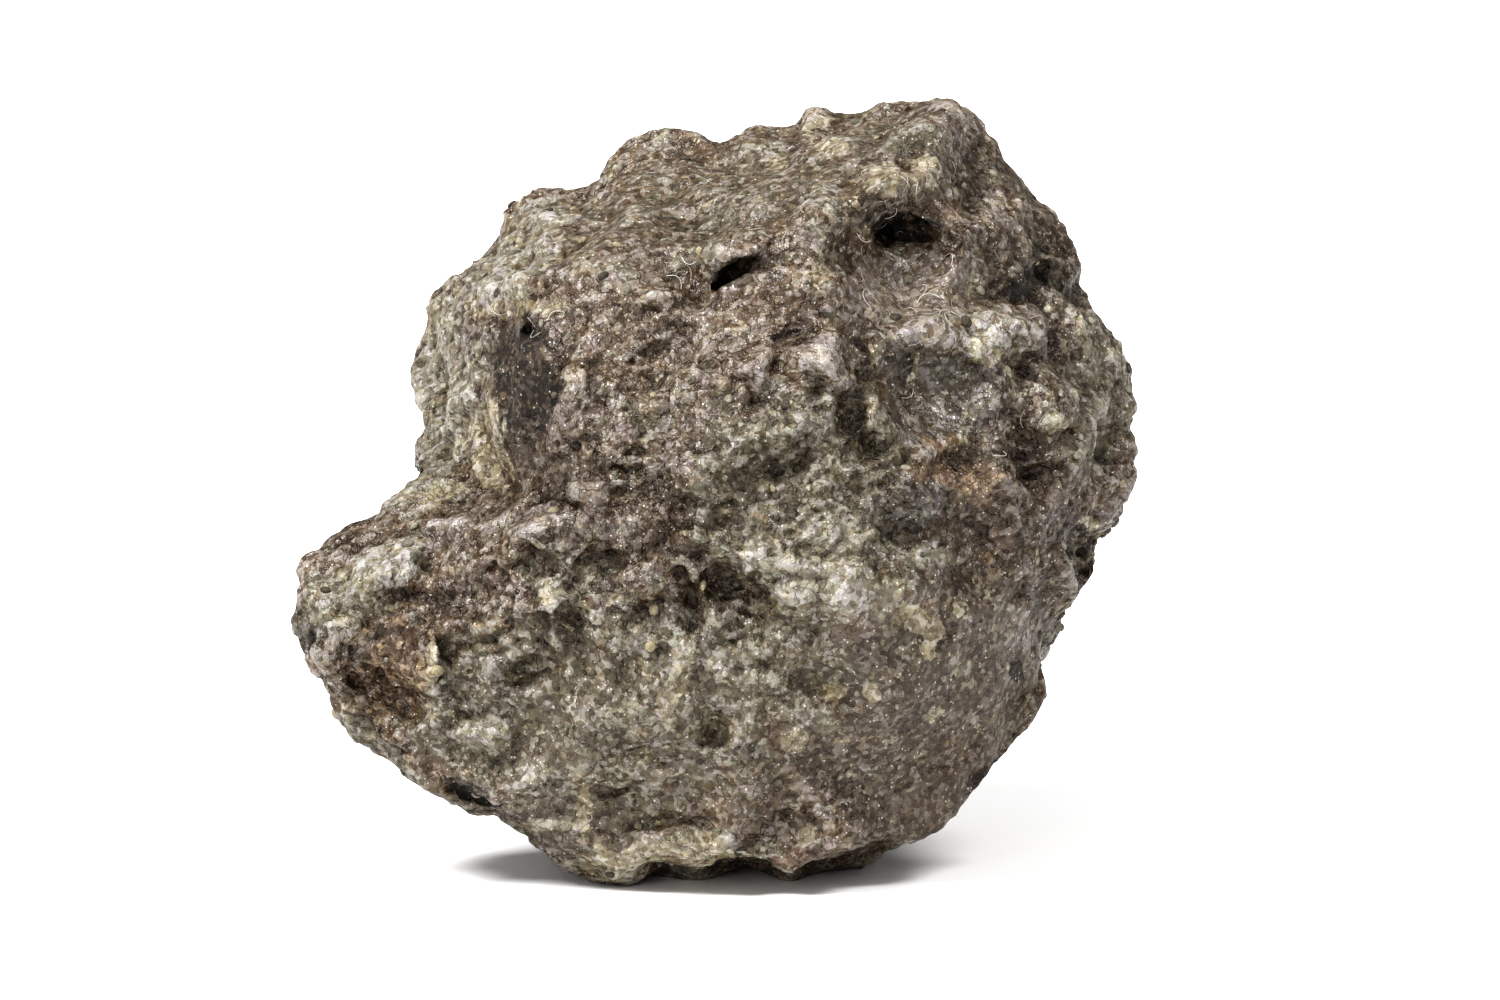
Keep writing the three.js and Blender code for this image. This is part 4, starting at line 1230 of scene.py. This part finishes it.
@dataclass(frozen=True)
class StoneFinish:
    """The stone's minerals: a brown fusion crust, worn through to paler stone with rust; dark pits and
    hollows are painted shade, and glossy patches and small points carry painted highlights.
    """

    crust: Tones = Tones((53, 38, 24), (108, 94, 79), (172, 166, 158))
    crust_warm: Tones = Tones((55, 37, 20), (110, 93, 73), (174, 165, 154))
    covers: dict[Mineral, Cover] = field(default_factory=lambda: {
        # dark brown crust, also used as painted shade in hollows
        Mineral.UMBER: Cover(Tones((40, 27, 15), (77, 63, 47), (140, 130, 120)), 1.5, 1.6, 0.85, 0.34),
        Mineral.OLIVE: Cover(Tones((52, 44, 28), (108, 102, 84), (175, 173, 161)), 1.7, 2.0, 0.75, 0.5),
        Mineral.RUST: Cover(Tones((44, 33, 24), (106, 86, 66), (168, 146, 116)), 1.3, 1.8, 0.7, 0.42),
        Mineral.SLAB: Cover(Tones((49, 40, 30), (89, 82, 71), (150, 147, 142)), 1.4, 1.4, 0.85, 0.3),
        Mineral.PALE: Cover(Tones((82, 71, 54), (140, 134, 116), (195, 193, 185)), 1.2, 2.0, 0.9, 0.55),
        Mineral.CREAM: Cover(Tones((92, 78, 55), (159, 150, 125), (211, 208, 195)), 0.7, 1.6, 0.85, 0.55),
        # glossy lilac-grey skin, painted lighter as painted highlights
        Mineral.SHEEN: Cover(Tones((64, 52, 40), (127, 117, 105), (187, 181, 176)), 1.0, 1.5, 0.85, 0.26),
        # near-black painted shade for pits and recesses
        Mineral.SOOT: Cover(Tones((7, 5, 4), (36, 28, 20), (100, 88, 74)), 0.9, 1.0, 0.9, 0.7),
    })
    rusty: Rgba = (1.1, 0.97, 0.82, 1.0)  # three tints that the colours are multiplied by
    lilac: Rgba = (1.02, 0.94, 1.06, 1.0)
    mossy: Rgba = (0.93, 1.03, 0.92, 1.0)
    # near-white colour of the painted glints
    painted_glint: Rgb = (244, 240, 230)
    gloss: float = 0.36

    def material(self) -> bpy.types.Material:
        """Wire the stone's material."""
        wires = Shading("meteorite_stone")
        pattern = StonePattern.wired(wires)
        tone = self._tone_and_painted_shade(wires, pattern)
        colour, dull = self._covered(wires, pattern, tone)
        colour = self._tinted(wires, colour)
        dull = wires.total((dull, 1.0), (pattern.grain[2], 0.16), start=-0.08)
        colour, dull = self._painted_glints(wires, tone, colour, dull)
        return wires.surface(colour, dull, self._height(wires, pattern), self.gloss)

    def _tone_and_painted_shade(self, wires: Shading, pattern: StonePattern) -> Socket:
        """Give how light the stone is painted at each place, from 0 in hollows to 1 on crests: random
        clouds, with painted shade and light that follow the mesh's crests, the bumps' heights and the
        cracks.
        """
        uneven = wires.total(
            # crests lighter and hollows darker: painted light and shade
            (wires.attribute("crest"), 0.12),
            (pattern.relief, 0.8),
            (pattern.cloud, 1.15),
            (pattern.chip[0], 0.16),
            # the cracks are darkened as painted shade
            (pattern.crack, -0.14),
            start=-(0.8 + 1.15 + 0.16) / 2.0,
        )
        uneven = wires.math("MULTIPLY", uneven, wires.ramp(pattern.rough, 0.1, 0.6, 0.5, 1.0))
        return wires.total((uneven, 1.0), (pattern.grain[0], 0.6), start=0.5 - 0.6 / 2.0)

    def _covered(self, wires: Shading, pattern: StonePattern, tone: Socket) -> tuple[Socket, Socket]:
        """Lay the minerals over the crust, painted shade and painted highlights among them, and give their
        colour and dullness.
        """
        warm = wires.ramp(wires.noise(3.4, 5.0, 0.7, 1.0), 0.42, 0.6)
        colour = wires.mix(warm, wires.tones(tone, self.crust), wires.tones(tone, self.crust_warm))
        dull = wires.ramp(pattern.cloud, 0.35, 0.65, 0.22, 0.4)
        for seed, (mineral, cover) in enumerate(self.covers.items(), 20):
            edge = wires.noise(cover.size, 5.0, 0.82, float(seed))
            pushed = wires.total(
                (wires.attribute(mineral.value), 1.0),
                (edge, cover.reach),
                (pattern.grain[1], 0.3),
                (pattern.chip[1], 0.25),
                start=-(cover.reach + 0.3 + 0.25) / 2.0,
            )
            share = wires.ramp(pushed, 0.36, 0.62, 0.0, cover.most)
            colour = wires.mix(share, colour, wires.tones(tone, cover.tones))
            dull = wires.blend(share, dull, cover.dull)
        return colour, dull

    def _tinted(self, wires: Shading, colour: Socket) -> Socket:
        """Tint the colour in clouds a millimetre or so across."""
        hue = wires.noise(0.9, 4.0, 0.9, 60.0)
        moss = wires.noise(0.7, 4.0, 0.9, 67.0)
        colour = wires.mix(wires.ramp(hue, 0.5, 0.62, 0.0, 0.9), colour, self.rusty, blend="MULTIPLY")
        colour = wires.mix(wires.ramp(hue, 0.52, 0.4, 0.0, 0.9), colour, self.lilac, blend="MULTIPLY")
        return wires.mix(wires.ramp(moss, 0.52, 0.64, 0.0, 0.8), colour, self.mossy, blend="MULTIPLY")

    def _painted_glints(self, wires: Shading, tone: Socket, colour: Socket,
                   dull: Socket) -> tuple[Socket, Socket]:
        """Paint small near-white points into the lighter stone as painted glints, smoother than the stone
        round them, and give the colour and dullness with them.
        """
        glint_cells = wires.cells(0.15)
        chosen = wires.math("GREATER_THAN", wires.channels(glint_cells.outputs["Color"])[0], 0.87)
        glint_share = wires.math("MULTIPLY", wires.ramp(glint_cells.outputs["Distance"], 0.4, 0.15), chosen)
        glint_share = wires.math("MULTIPLY", glint_share, wires.ramp(tone, 0.25, 0.6))
        colour = wires.mix(wires.math("MULTIPLY", glint_share, 0.8), colour, self.painted_glint)
        return colour, wires.blend(glint_share, dull, 0.15)

    def _height(self, wires: Shading, pattern: StonePattern) -> Socket:
        """Give the height of the relief that is too fine for the mesh, in mm."""
        height = wires.total(
            (pattern.relief, 0.75),
            (pattern.grain[0], 0.035),
            (pattern.chip[0], 0.05),
            (pattern.crack, -0.06),
        )
        return wires.math("MULTIPLY", height, wires.ramp(pattern.rough, 0.0, 0.8, 0.4, 1.1))


@dataclass(frozen=True)
class FloorFinish:
    """A plain pale table top."""

    pale: Rgba = (0.93, 0.93, 0.93, 1.0)
    shade: Rgba = (0.9, 0.9, 0.9, 1.0)

    def material(self) -> bpy.types.Material:
        """Wire the floor's material."""
        wires = Shading("pale_floor")
        cloud = wires.noise(60.0, 2.0, 0.5, 2.0)
        colour = wires.mix(wires.ramp(cloud, 0.3, 0.7), self.pale, self.shade)
        roughness = wires.ramp(cloud, 0.3, 0.7, 0.6, 0.7)
        return wires.surface(colour, roughness, wires.math("MULTIPLY", cloud, 0.001), 0.3)


@dataclass
class StoneBody:
    """The meteorite itself, as one closed mesh."""

    form: StoneForm = field(default_factory=StoneForm)
    fine: FineRelief = field(default_factory=FineRelief)
    minerals: MineralMap = field(default_factory=MineralMap)
    ball: GeodesicBall = GeodesicBall()
    finish: StoneFinish = StoneFinish()
    front_fade: Place = (-0.1, 0.12)  # how far forward a direction begins, and fully comes, to be the front
    foot_fade: float = 0.6  # mm above the floor over which the fine relief sets in
    overhang: float = 0.3  # mm that the stone may reach past the solid's box
    lint: list[Spot] = field(default_factory=lambda: [
        spot(8.4, 10.6, (3.0, 2.6), -20, 1.0),
        spot(7.0, 14.6, (4.0, 1.0), 12, 0.8),
        spot(0.5, 11.6, (3.4, 0.8), 20, 0.7),
        spot(-9.4, 8.8, (2.4, 1.0), 0, 0.4),
        spot(10.4, 8.6, (2.6, 1.2), 50, 0.6),
        spot(9.6, 5.6, (2.0, 2.4), 0, 0.3),
        spot(12.6, 3.0, (2.4, 5.0), 0, 0.2),
    ])
    crest_passes: tuple[tuple[int, float], ...] = ((2, 0.45), (6, 0.4), (24, 0.45))
    thorn_limits: tuple[tuple[int, float], ...] = ((12, 0.45), (3, 0.15), (1, 0.08))  # in mm

    def __post_init__(self) -> None:
        """Leave the shift that fits the stone to its place to be found when it is built."""
        self.shift = np.zeros(3)

    def _normals(self, points: Array, triangles: Array) -> Array:
        """Give the unit normal at each point."""
        a, b, c = (points[triangles[:, k]] for k in range(3))
        flat = np.cross(b - a, c - a)
        total = np.zeros_like(points)
        for k in range(3):
            for axis in range(3):
                total[:, axis] += np.bincount(triangles[:, k], flat[:, axis], len(points))
        return total / np.maximum(np.linalg.norm(total, axis=1), 1e-12)[:, None]

    def _eased(self, points: Array, triangles: Array, passes: int) -> Array:
        """Move each point to the middle of its neighbours, several times over."""
        starts = triangles.T.reshape(-1)
        ends = triangles[:, [1, 2, 0]].T.reshape(-1)
        neighbours = np.bincount(starts, minlength=len(points))[:, None]
        for _ in range(passes):
            sums = [np.bincount(starts, points[ends, axis], len(points)) for axis in range(3)]
            points = np.stack(sums, axis=1) / neighbours
        return points

    def _blunted(self, points: Array, triangles: Array) -> Array:
        """Take down the thorns that stand too far out of their surroundings."""
        for passes, limit in self.thorn_limits:
            normals = self._normals(points, triangles)
            stand = np.sum((points - self._eased(points, triangles, passes)) * normals, axis=1)
            points = points - normals * np.maximum(stand - limit, 0.0)[:, None]
        return points

    def _crests(self, points: Array, triangles: Array, normals: Array) -> Array:
        """Measure how far points stand out of their surroundings.

        Args:
            points: The finished points.
            triangles: The triangles of the mesh.
            normals: The unit normal at each point.

        Returns:
            About -3 in a sharp hollow to 3 on a sharp crest.
        """
        eased = points
        total = np.zeros(len(points))
        for passes, share in self.crest_passes:
            eased = self._eased(eased, triangles, passes)
            stand = np.sum((points - eased) * normals, axis=1)
            total += share * np.clip(stand / stand.std(), -3.0, 3.0)
        return total

    def build(self, low: Vector, high: Vector) -> bpy.types.Object:
        """Build the stone inside its box.

        Args:
            low: The lowest corner of the part's own solid, in metres.
            high: Its highest corner.

        Returns:
            The stone's object, with its minerals as attributes.
        """
        directions, triangles = self.ball.directions()
        seen = self.form.seen_surface(directions)
        plain = self.form.view_to_stone(seen)
        plain[:, 2] = np.maximum(plain[:, 2], 0.0)
        across, up, _ = seen.T
        front = smoothstep(-directions[:, 1], *self.front_fade)
        amount = self.fine.amount_at(across, up, front)
        box = np.array([low, high]) / MM
        middle = (plain.min(axis=0) + plain.max(axis=0)) / 2.0
        self.shift = np.array([*(box.mean(axis=0) - middle)[:2], 0.0])
        points = self._refined(plain, triangles, amount)
        points = np.clip(points, box[0] - [self.overhang, self.overhang, 0.0], box[1] + self.overhang)
        mesh = bpy.data.meshes.new("stone_body")
        mesh.from_pydata((points * MM).tolist(), [], triangles.tolist())
        mesh.polygons.foreach_set("use_smooth", [True] * len(mesh.polygons))
        for mineral, weight in self.minerals.weights(across, up, plain, front).items():
            self._hold(mesh, mineral.value, weight)
        self._hold(mesh, "crest", self._crests(points, triangles, self._normals(points, triangles)))
        self._hold(mesh, "rough", amount)
        shares = [item.amount * (item.oval.share_at(across, up) < 1.0) for item in self.lint]
        self._hold(mesh, "lint", np.max(shares, axis=0) * (front > 0.9))
        mesh.materials.append(self.finish.material())
        mesh.update()
        body = bpy.data.objects.new("stone_body", mesh)
        bpy.context.scene.collection.objects.link(body)
        return body

    def _refined(self, plain: Array, triangles: Array, amount: Array) -> Array:
        """Lay the fine relief over the plain stone, in its own place.

        Args:
            plain: Points of the stone's plain surface, in mm.
            triangles: The triangles of the mesh.
            amount: How rough the stone is at each point.

        Returns:
            The finished points, in mm.
        """
        height = self.fine.height_at(plain, amount)
        normals = self._normals(plain, triangles)
        on_foot = 1.0 - smoothstep(plain[:, 2], 0.0, self.foot_fade)
        points = plain + normals * (height * (1.0 - on_foot))[:, None] + self.shift
        points = self._blunted(points, triangles)
        points[:, 2] = np.where(plain[:, 2] > 0.0, points[:, 2], 0.0)
        return points

    def _hold(self, mesh: bpy.types.Mesh, name: str, values: Array) -> None:
        """Keep a number at each vertex of a mesh."""
        kept = mesh.attributes.new(name, "FLOAT", "POINT")
        kept.data.foreach_set("value", values.astype(np.float32))


@dataclass(frozen=True)
class GrainFinish:
    """The small round grains: dark, olive, pale or cream, by the number that each one holds."""

    kinds: tuple[tuple[float, Tones], ...] = (
        (0.0, Tones((46, 38, 30), (82, 73, 62), (136, 126, 112))),
        (0.25, Tones((52, 48, 38), (116, 111, 95), (180, 175, 156))),
        (0.62, Tones((84, 78, 65), (158, 152, 134), (222, 217, 201))),
        (0.9, Tones((100, 88, 62), (176, 164, 134), (226, 216, 190))),
    )
    gloss: float = 0.3

    def material(self) -> bpy.types.Material:
        """Wire the grains' material."""
        wires = Shading("mineral_grain")
        kind = wires.attribute("kind")
        cloud = wires.noise(0.3, 4.0, 0.9, 40.0)
        tone = wires.total((cloud, 2.0), start=-0.5)
        colour = wires.tones(tone, self.kinds[0][1])
        for place, tones in self.kinds[1:]:
            share = wires.ramp(kind, place - 0.02, place + 0.02)
            colour = wires.mix(share, colour, wires.tones(tone, tones))
        dull = wires.ramp(cloud, 0.3, 0.7, 0.35, 0.6)
        return wires.surface(colour, dull, wires.math("MULTIPLY", cloud, 0.12), self.gloss)


@dataclass(frozen=True)
class LintFinish:
    """Pale lint."""

    dark: Rgb = (176, 170, 158)
    light: Rgb = (236, 232, 222)
    gloss: float = 0.3

    def material(self) -> bpy.types.Material:
        """Wire the lint's material."""
        wires = Shading("pale_lint")
        cloud = wires.noise(0.5, 2.0, 0.6, 50.0)
        colour = wires.mix(wires.ramp(cloud, 0.3, 0.7), self.dark, self.light)
        dull = wires.ramp(cloud, 0.3, 0.7, 0.5, 0.7)
        return wires.surface(colour, dull, wires.math("MULTIPLY", cloud, 0.02), self.gloss)


@dataclass
class Strewn:
    """Small things of one shape that lie all over the stone, as one mesh."""

    name: str
    seed: int
    sizes: dict[str, float]
    finish: GrainFinish | LintFinish

    def __post_init__(self) -> None:
        """Start the node tree with its inputs."""
        self.tree = bpy.data.node_groups.new(self.name + "_strewing", "GeometryNodeTree")
        self.tree.interface.new_socket("Surface", in_out="INPUT", socket_type="NodeSocketGeometry")
        for name in self.sizes:
            self.tree.interface.new_socket(name, in_out="INPUT", socket_type="NodeSocketFloat")
        self.tree.interface.new_socket("Strewn", in_out="OUTPUT", socket_type="NodeSocketGeometry")
        self.wires = Wiring(self.tree)
        self.start = self.wires.node("NodeGroupInput").outputs

    def random(self, seed: int, low: float, high: float) -> Socket:
        """Give each thing its own number between two limits."""
        inputs = {2: low, 3: high, "Seed": seed}
        return self.wires.node("FunctionNodeRandomValue", inputs, data_type="FLOAT").outputs[1]

    def weight(self, name: str) -> Socket:
        """Read a number that the stone holds at each vertex."""
        made = self.wires.node("GeometryNodeInputNamedAttribute", {"Name": name}, data_type="FLOAT")
        return made.outputs["Attribute"]

    def vector(self, x: Socket, y: Socket, z: Socket) -> Socket:
        """Join three numbers."""
        return self.wires.node("ShaderNodeCombineXYZ", {0: x, 1: y, 2: z}).outputs[0]

    def crowding(self) -> Socket:
        """Give how many things lie on each square metre."""
        raise NotImplementedError

    def shape(self) -> Socket:
        """Give the shape of one thing, lying on the floor."""
        raise NotImplementedError

    def scale(self) -> Socket:
        """Give each thing's own size."""
        raise NotImplementedError

    def wire(self) -> None:
        """Wire the nodes that strew the shape over the surface."""
        node = self.wires.node
        strewn = node(
            "GeometryNodeDistributePointsOnFaces",
            {"Mesh": self.start["Surface"], "Density": self.crowding(), "Seed": self.seed},
            distribute_method="RANDOM",
        )
        about = node("FunctionNodeAxisAngleToRotation", {"Angle": self.random(3, 0.0, 2.0 * math.pi)})
        both = {0: strewn.outputs["Rotation"], 1: about.outputs[0]}
        placed = node("GeometryNodeInstanceOnPoints", {
            "Points": strewn.outputs["Points"],
            "Instance": self.shape(),
            "Rotation": node("FunctionNodeRotateRotation", both, rotation_space="LOCAL").outputs[0],
            "Scale": self.scale(),
        })
        kept = node(
            "GeometryNodeStoreNamedAttribute",
            {"Geometry": placed.outputs[0], "Name": "kind", "Value": self.random(4, 0.0, 1.0)},
            data_type="FLOAT",
            domain="INSTANCE",
        )
        realized = node("GeometryNodeRealizeInstances", {0: kept.outputs[0]})
        smooth = node("GeometryNodeSetShadeSmooth", {0: realized.outputs[0]})
        material = {"Geometry": smooth.outputs[0], "Material": self.finish.material()}
        node("NodeGroupOutput", {"Strewn": node("GeometryNodeSetMaterial", material).outputs[0]})

    def build(self, stone: bpy.types.Object) -> bpy.types.Object:
        """Strew the things over the stone.

        Args:
            stone: The stone's object, with the numbers that it holds at each vertex.

        Returns:
            The things' object, a plain mesh.
        """
        self.wire()
        things = bpy.data.objects.new(self.name, stone.data.copy())
        bpy.context.scene.collection.objects.link(things)
        strewing = things.modifiers.new("strewing", "NODES")
        strewing.node_group = self.tree
        for item in self.tree.interface.items_tree:
            if item.name in self.sizes:
                strewing[item.identifier] = self.sizes[item.name]
        depsgraph = bpy.context.evaluated_depsgraph_get()
        made = bpy.data.meshes.new_from_object(
            things.evaluated_get(depsgraph), preserve_all_data_layers=True, depsgraph=depsgraph
        )
        things.modifiers.clear()
        things.data = made
        made.name = self.name
        rows = np.empty(len(made.vertices) * 3, np.float32)
        made.vertices.foreach_get("co", rows)
        rows[2::3] = np.maximum(rows[2::3], 0.0)
        made.vertices.foreach_set("co", rows)
        made.update()
        return things


@dataclass
class MineralGrains(Strewn):
    """The small round grains that stand out of the stone."""

    name: str = "mineral_grains"
    seed: int = 5
    sizes: dict[str, float] = field(default_factory=lambda: {
        "Grains per square metre": 0.34e6,
        "Smallest radius": 0.07 * MM,
        "Largest radius": 0.34 * MM,
        "Flatness": 0.45,
    })
    finish: GrainFinish = GrainFinish()
    sides: int = 8
    rings: int = 5

    def crowding(self) -> Socket:
        """Crowd the grains where the paler stone shows."""
        olive, pale = self.weight(Mineral.OLIVE.value), self.weight(Mineral.PALE.value)
        share = self.wires.math("MULTIPLY_ADD", self.wires.math("ADD", olive, pale), 0.7, 0.4)
        return self.wires.math("MULTIPLY", self.start["Grains per square metre"], share)

    def shape(self) -> Socket:
        """Make a ball of radius 1."""
        sizes = {"Segments": self.sides, "Rings": self.rings, "Radius": 1.0}
        return self.wires.node("GeometryNodeMeshUVSphere", sizes).outputs["Mesh"]

    def scale(self) -> Socket:
        """Make most grains small, and each a little longer than wide and flat."""
        spread = self.wires.math("SUBTRACT", self.start["Largest radius"], self.start["Smallest radius"])
        share = self.wires.math("POWER", self.random(1, 0.0, 1.0), 2.6)
        radius = self.wires.math("MULTIPLY_ADD", spread, share, self.start["Smallest radius"])
        width = self.wires.math("MULTIPLY", radius, self.random(2, 0.6, 1.0))
        return self.vector(radius, width, self.wires.math("MULTIPLY", radius, self.start["Flatness"]))


@dataclass
class LintFibres(Strewn):
    """The short pale fibres that cling to the stone's hollows and edges."""

    name: str = "lint_fibres"
    seed: int = 8
    sizes: dict[str, float] = field(default_factory=lambda: {
        "Fibres per square metre": 0.75e6,
        "Shortest fibre": 0.3 * MM,
        "Longest fibre": 1.3 * MM,
        "Thickness": 0.026 * MM,
    })
    finish: LintFinish = LintFinish()
    sides: int = 3
    bends: int = 7

    def crowding(self) -> Socket:
        """Lay the fibres where the stone holds lint."""
        return self.wires.math("MULTIPLY", self.start["Fibres per square metre"], self.weight("lint"))

    def shape(self) -> Socket:
        """Make a bent fibre of length 1."""
        line = self.wires.node("GeometryNodeCurveQuadraticBezier", {
            "Resolution": self.bends,
            "Start": (-0.45, -0.05, 0.02),
            "Middle": (0.05, 0.42, 0.2),
            "End": (0.4, -0.2, 0.03),
        })
        radius = self.wires.math("DIVIDE", self.start["Thickness"], self.start["Longest fibre"])
        round_form = {"Resolution": self.sides, "Radius": radius}
        ring = self.wires.node("GeometryNodeCurvePrimitiveCircle", round_form)
        tube = {"Curve": line.outputs[0], "Profile Curve": ring.outputs[0], "Fill Caps": True}
        return self.wires.node("GeometryNodeCurveToMesh", tube).outputs[0]

    def scale(self) -> Socket:
        """Give each fibre its own length."""
        shortest = self.start["Shortest fibre"]
        spread = self.wires.math("SUBTRACT", self.start["Longest fibre"], shortest)
        long = self.wires.math("MULTIPLY_ADD", spread, self.random(1, 0.0, 1.0), shortest)
        wide = self.wires.math("MULTIPLY", long, self.random(2, 0.5, 1.2))
        return self.vector(long, wide, long)


@dataclass(frozen=True)
class Lamp:
    """A soft lamp: where its light comes from, how strong it is, and how wide it looks, in degrees."""

    name: str
    toward: tuple[float, float, float]
    strength: float
    width: float

    def light(self) -> bpy.types.Object:
        """Hang the lamp in the scene."""
        lamp = bpy.data.lights.new(self.name, "SUN")
        lamp.energy = self.strength
        lamp.angle = math.radians(self.width)
        holder = bpy.data.objects.new(self.name, lamp)
        holder.rotation_euler = Vector(self.toward).to_track_quat("Z", "Y").to_euler()
        bpy.context.scene.collection.objects.link(holder)
        return holder


@dataclass
class Studio:
    """The pale floor, the light and the camera."""

    floor_half: float = 3.0
    floor_finish: FloorFinish = FloorFinish()
    lamps: tuple[Lamp, ...] = (
        Lamp("left_lamp", (-0.65, -0.4, 1.0), 4.2, 20.0),
        Lamp("right_lamp", (0.65, -0.2, 1.1), 1.9, 20.0),
        Lamp("front_lamp", (-0.3, -1.0, 0.25), 0.9, 40.0),
    )
    sky_strength: float = 0.3

    def add_floor(self) -> bpy.types.Object:
        """Lay the floor, and keep it out of the object."""
        half = self.floor_half
        mesh = bpy.data.meshes.new("floor")
        corners = [(-half, -half, 0.0), (half, -half, 0.0), (half, half, 0.0), (-half, half, 0.0)]
        mesh.from_pydata(corners, [], [(0, 1, 2, 3)])
        mesh.materials.append(self.floor_finish.material())
        floor = bpy.data.objects.new("floor", mesh)
        bpy.context.scene.collection.objects.link(floor)
        floor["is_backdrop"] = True
        return floor

    def add_light(self) -> None:
        """Light the stone with soft lamps and an even white surround."""
        scene = bpy.context.scene
        scene.view_settings.view_transform = "Standard"
        scene.view_settings.look = "High Contrast"
        for lamp in self.lamps:
            lamp.light()
        world = bpy.data.worlds.new("surround")
        world.use_nodes = True
        scene.world = world
        world.node_tree.nodes.clear()
        wires = Wiring(world.node_tree)
        white = (1.0, 1.0, 1.0, 1.0)
        lit, seen = (
            wires.node("ShaderNodeBackground", {"Color": white, "Strength": strength}).outputs[0]
            for strength in (self.sky_strength, 1.0)
        )
        rays = wires.node("ShaderNodeLightPath").outputs["Is Camera Ray"]
        either = wires.node("ShaderNodeMixShader", {0: rays, 1: lit, 2: seen})
        wires.node("ShaderNodeOutputWorld", {"Surface": either.outputs[0]})

    def add_camera(self, face_middle: Array) -> bpy.types.Object:
        """Stand the camera where the photograph was taken from.

        Args:
            face_middle: The middle of the stone's face, in mm.

        Returns:
            The camera's object.
        """
        back = Vector((0.0, -math.cos(EYE_LIFT), math.sin(EYE_LIFT)))
        up = Vector((0.0, math.sin(EYE_LIFT), math.cos(EYE_LIFT)))
        right = Vector((1.0, 0.0, 0.0))
        camera = bpy.data.cameras.new("eye")
        camera.sensor_width = SENSOR_MM
        camera.lens = SENSOR_MM * EYE_DISTANCE * PIXELS_PER_MM / IMAGE_WIDTH
        camera.clip_start = 0.01
        camera.clip_end = 10.0
        holder = bpy.data.objects.new("eye", camera)
        place = Vector(face_middle) + back * EYE_DISTANCE + right * VIEW_SHIFT
        holder.location = place * MM
        holder.rotation_mode = "QUATERNION"
        holder.rotation_quaternion = Matrix((right, up, back)).transposed().to_quaternion()
        bpy.context.scene.collection.objects.link(holder)
        bpy.context.scene.camera = holder
        return holder


def main() -> None:
    """Build the scene and report each piece."""
    logging.basicConfig(level=logging.INFO, format="%(name)s: %(message)s")
    solid_low, solid_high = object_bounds()
    stone = StoneBody()
    body = stone.build(solid_low, solid_high)
    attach(body, "root")
    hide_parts("meteorite")
    log.info("%s: %d faces", body.name, len(body.data.polygons))
    for strewn in (MineralGrains(), LintFibres()):
        things = strewn.build(body)
        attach(things, "root")
        log.info("%s: %d faces", things.name, len(things.data.polygons))
    studio = Studio()
    studio.add_floor()
    studio.add_light()
    studio.add_camera(stone.shift + np.array([0.0, 0.0, stone.form.face_middle_height]))
    bpy.context.view_layer.update()
    log.info("size written")


if __name__ == "__main__":
    main()
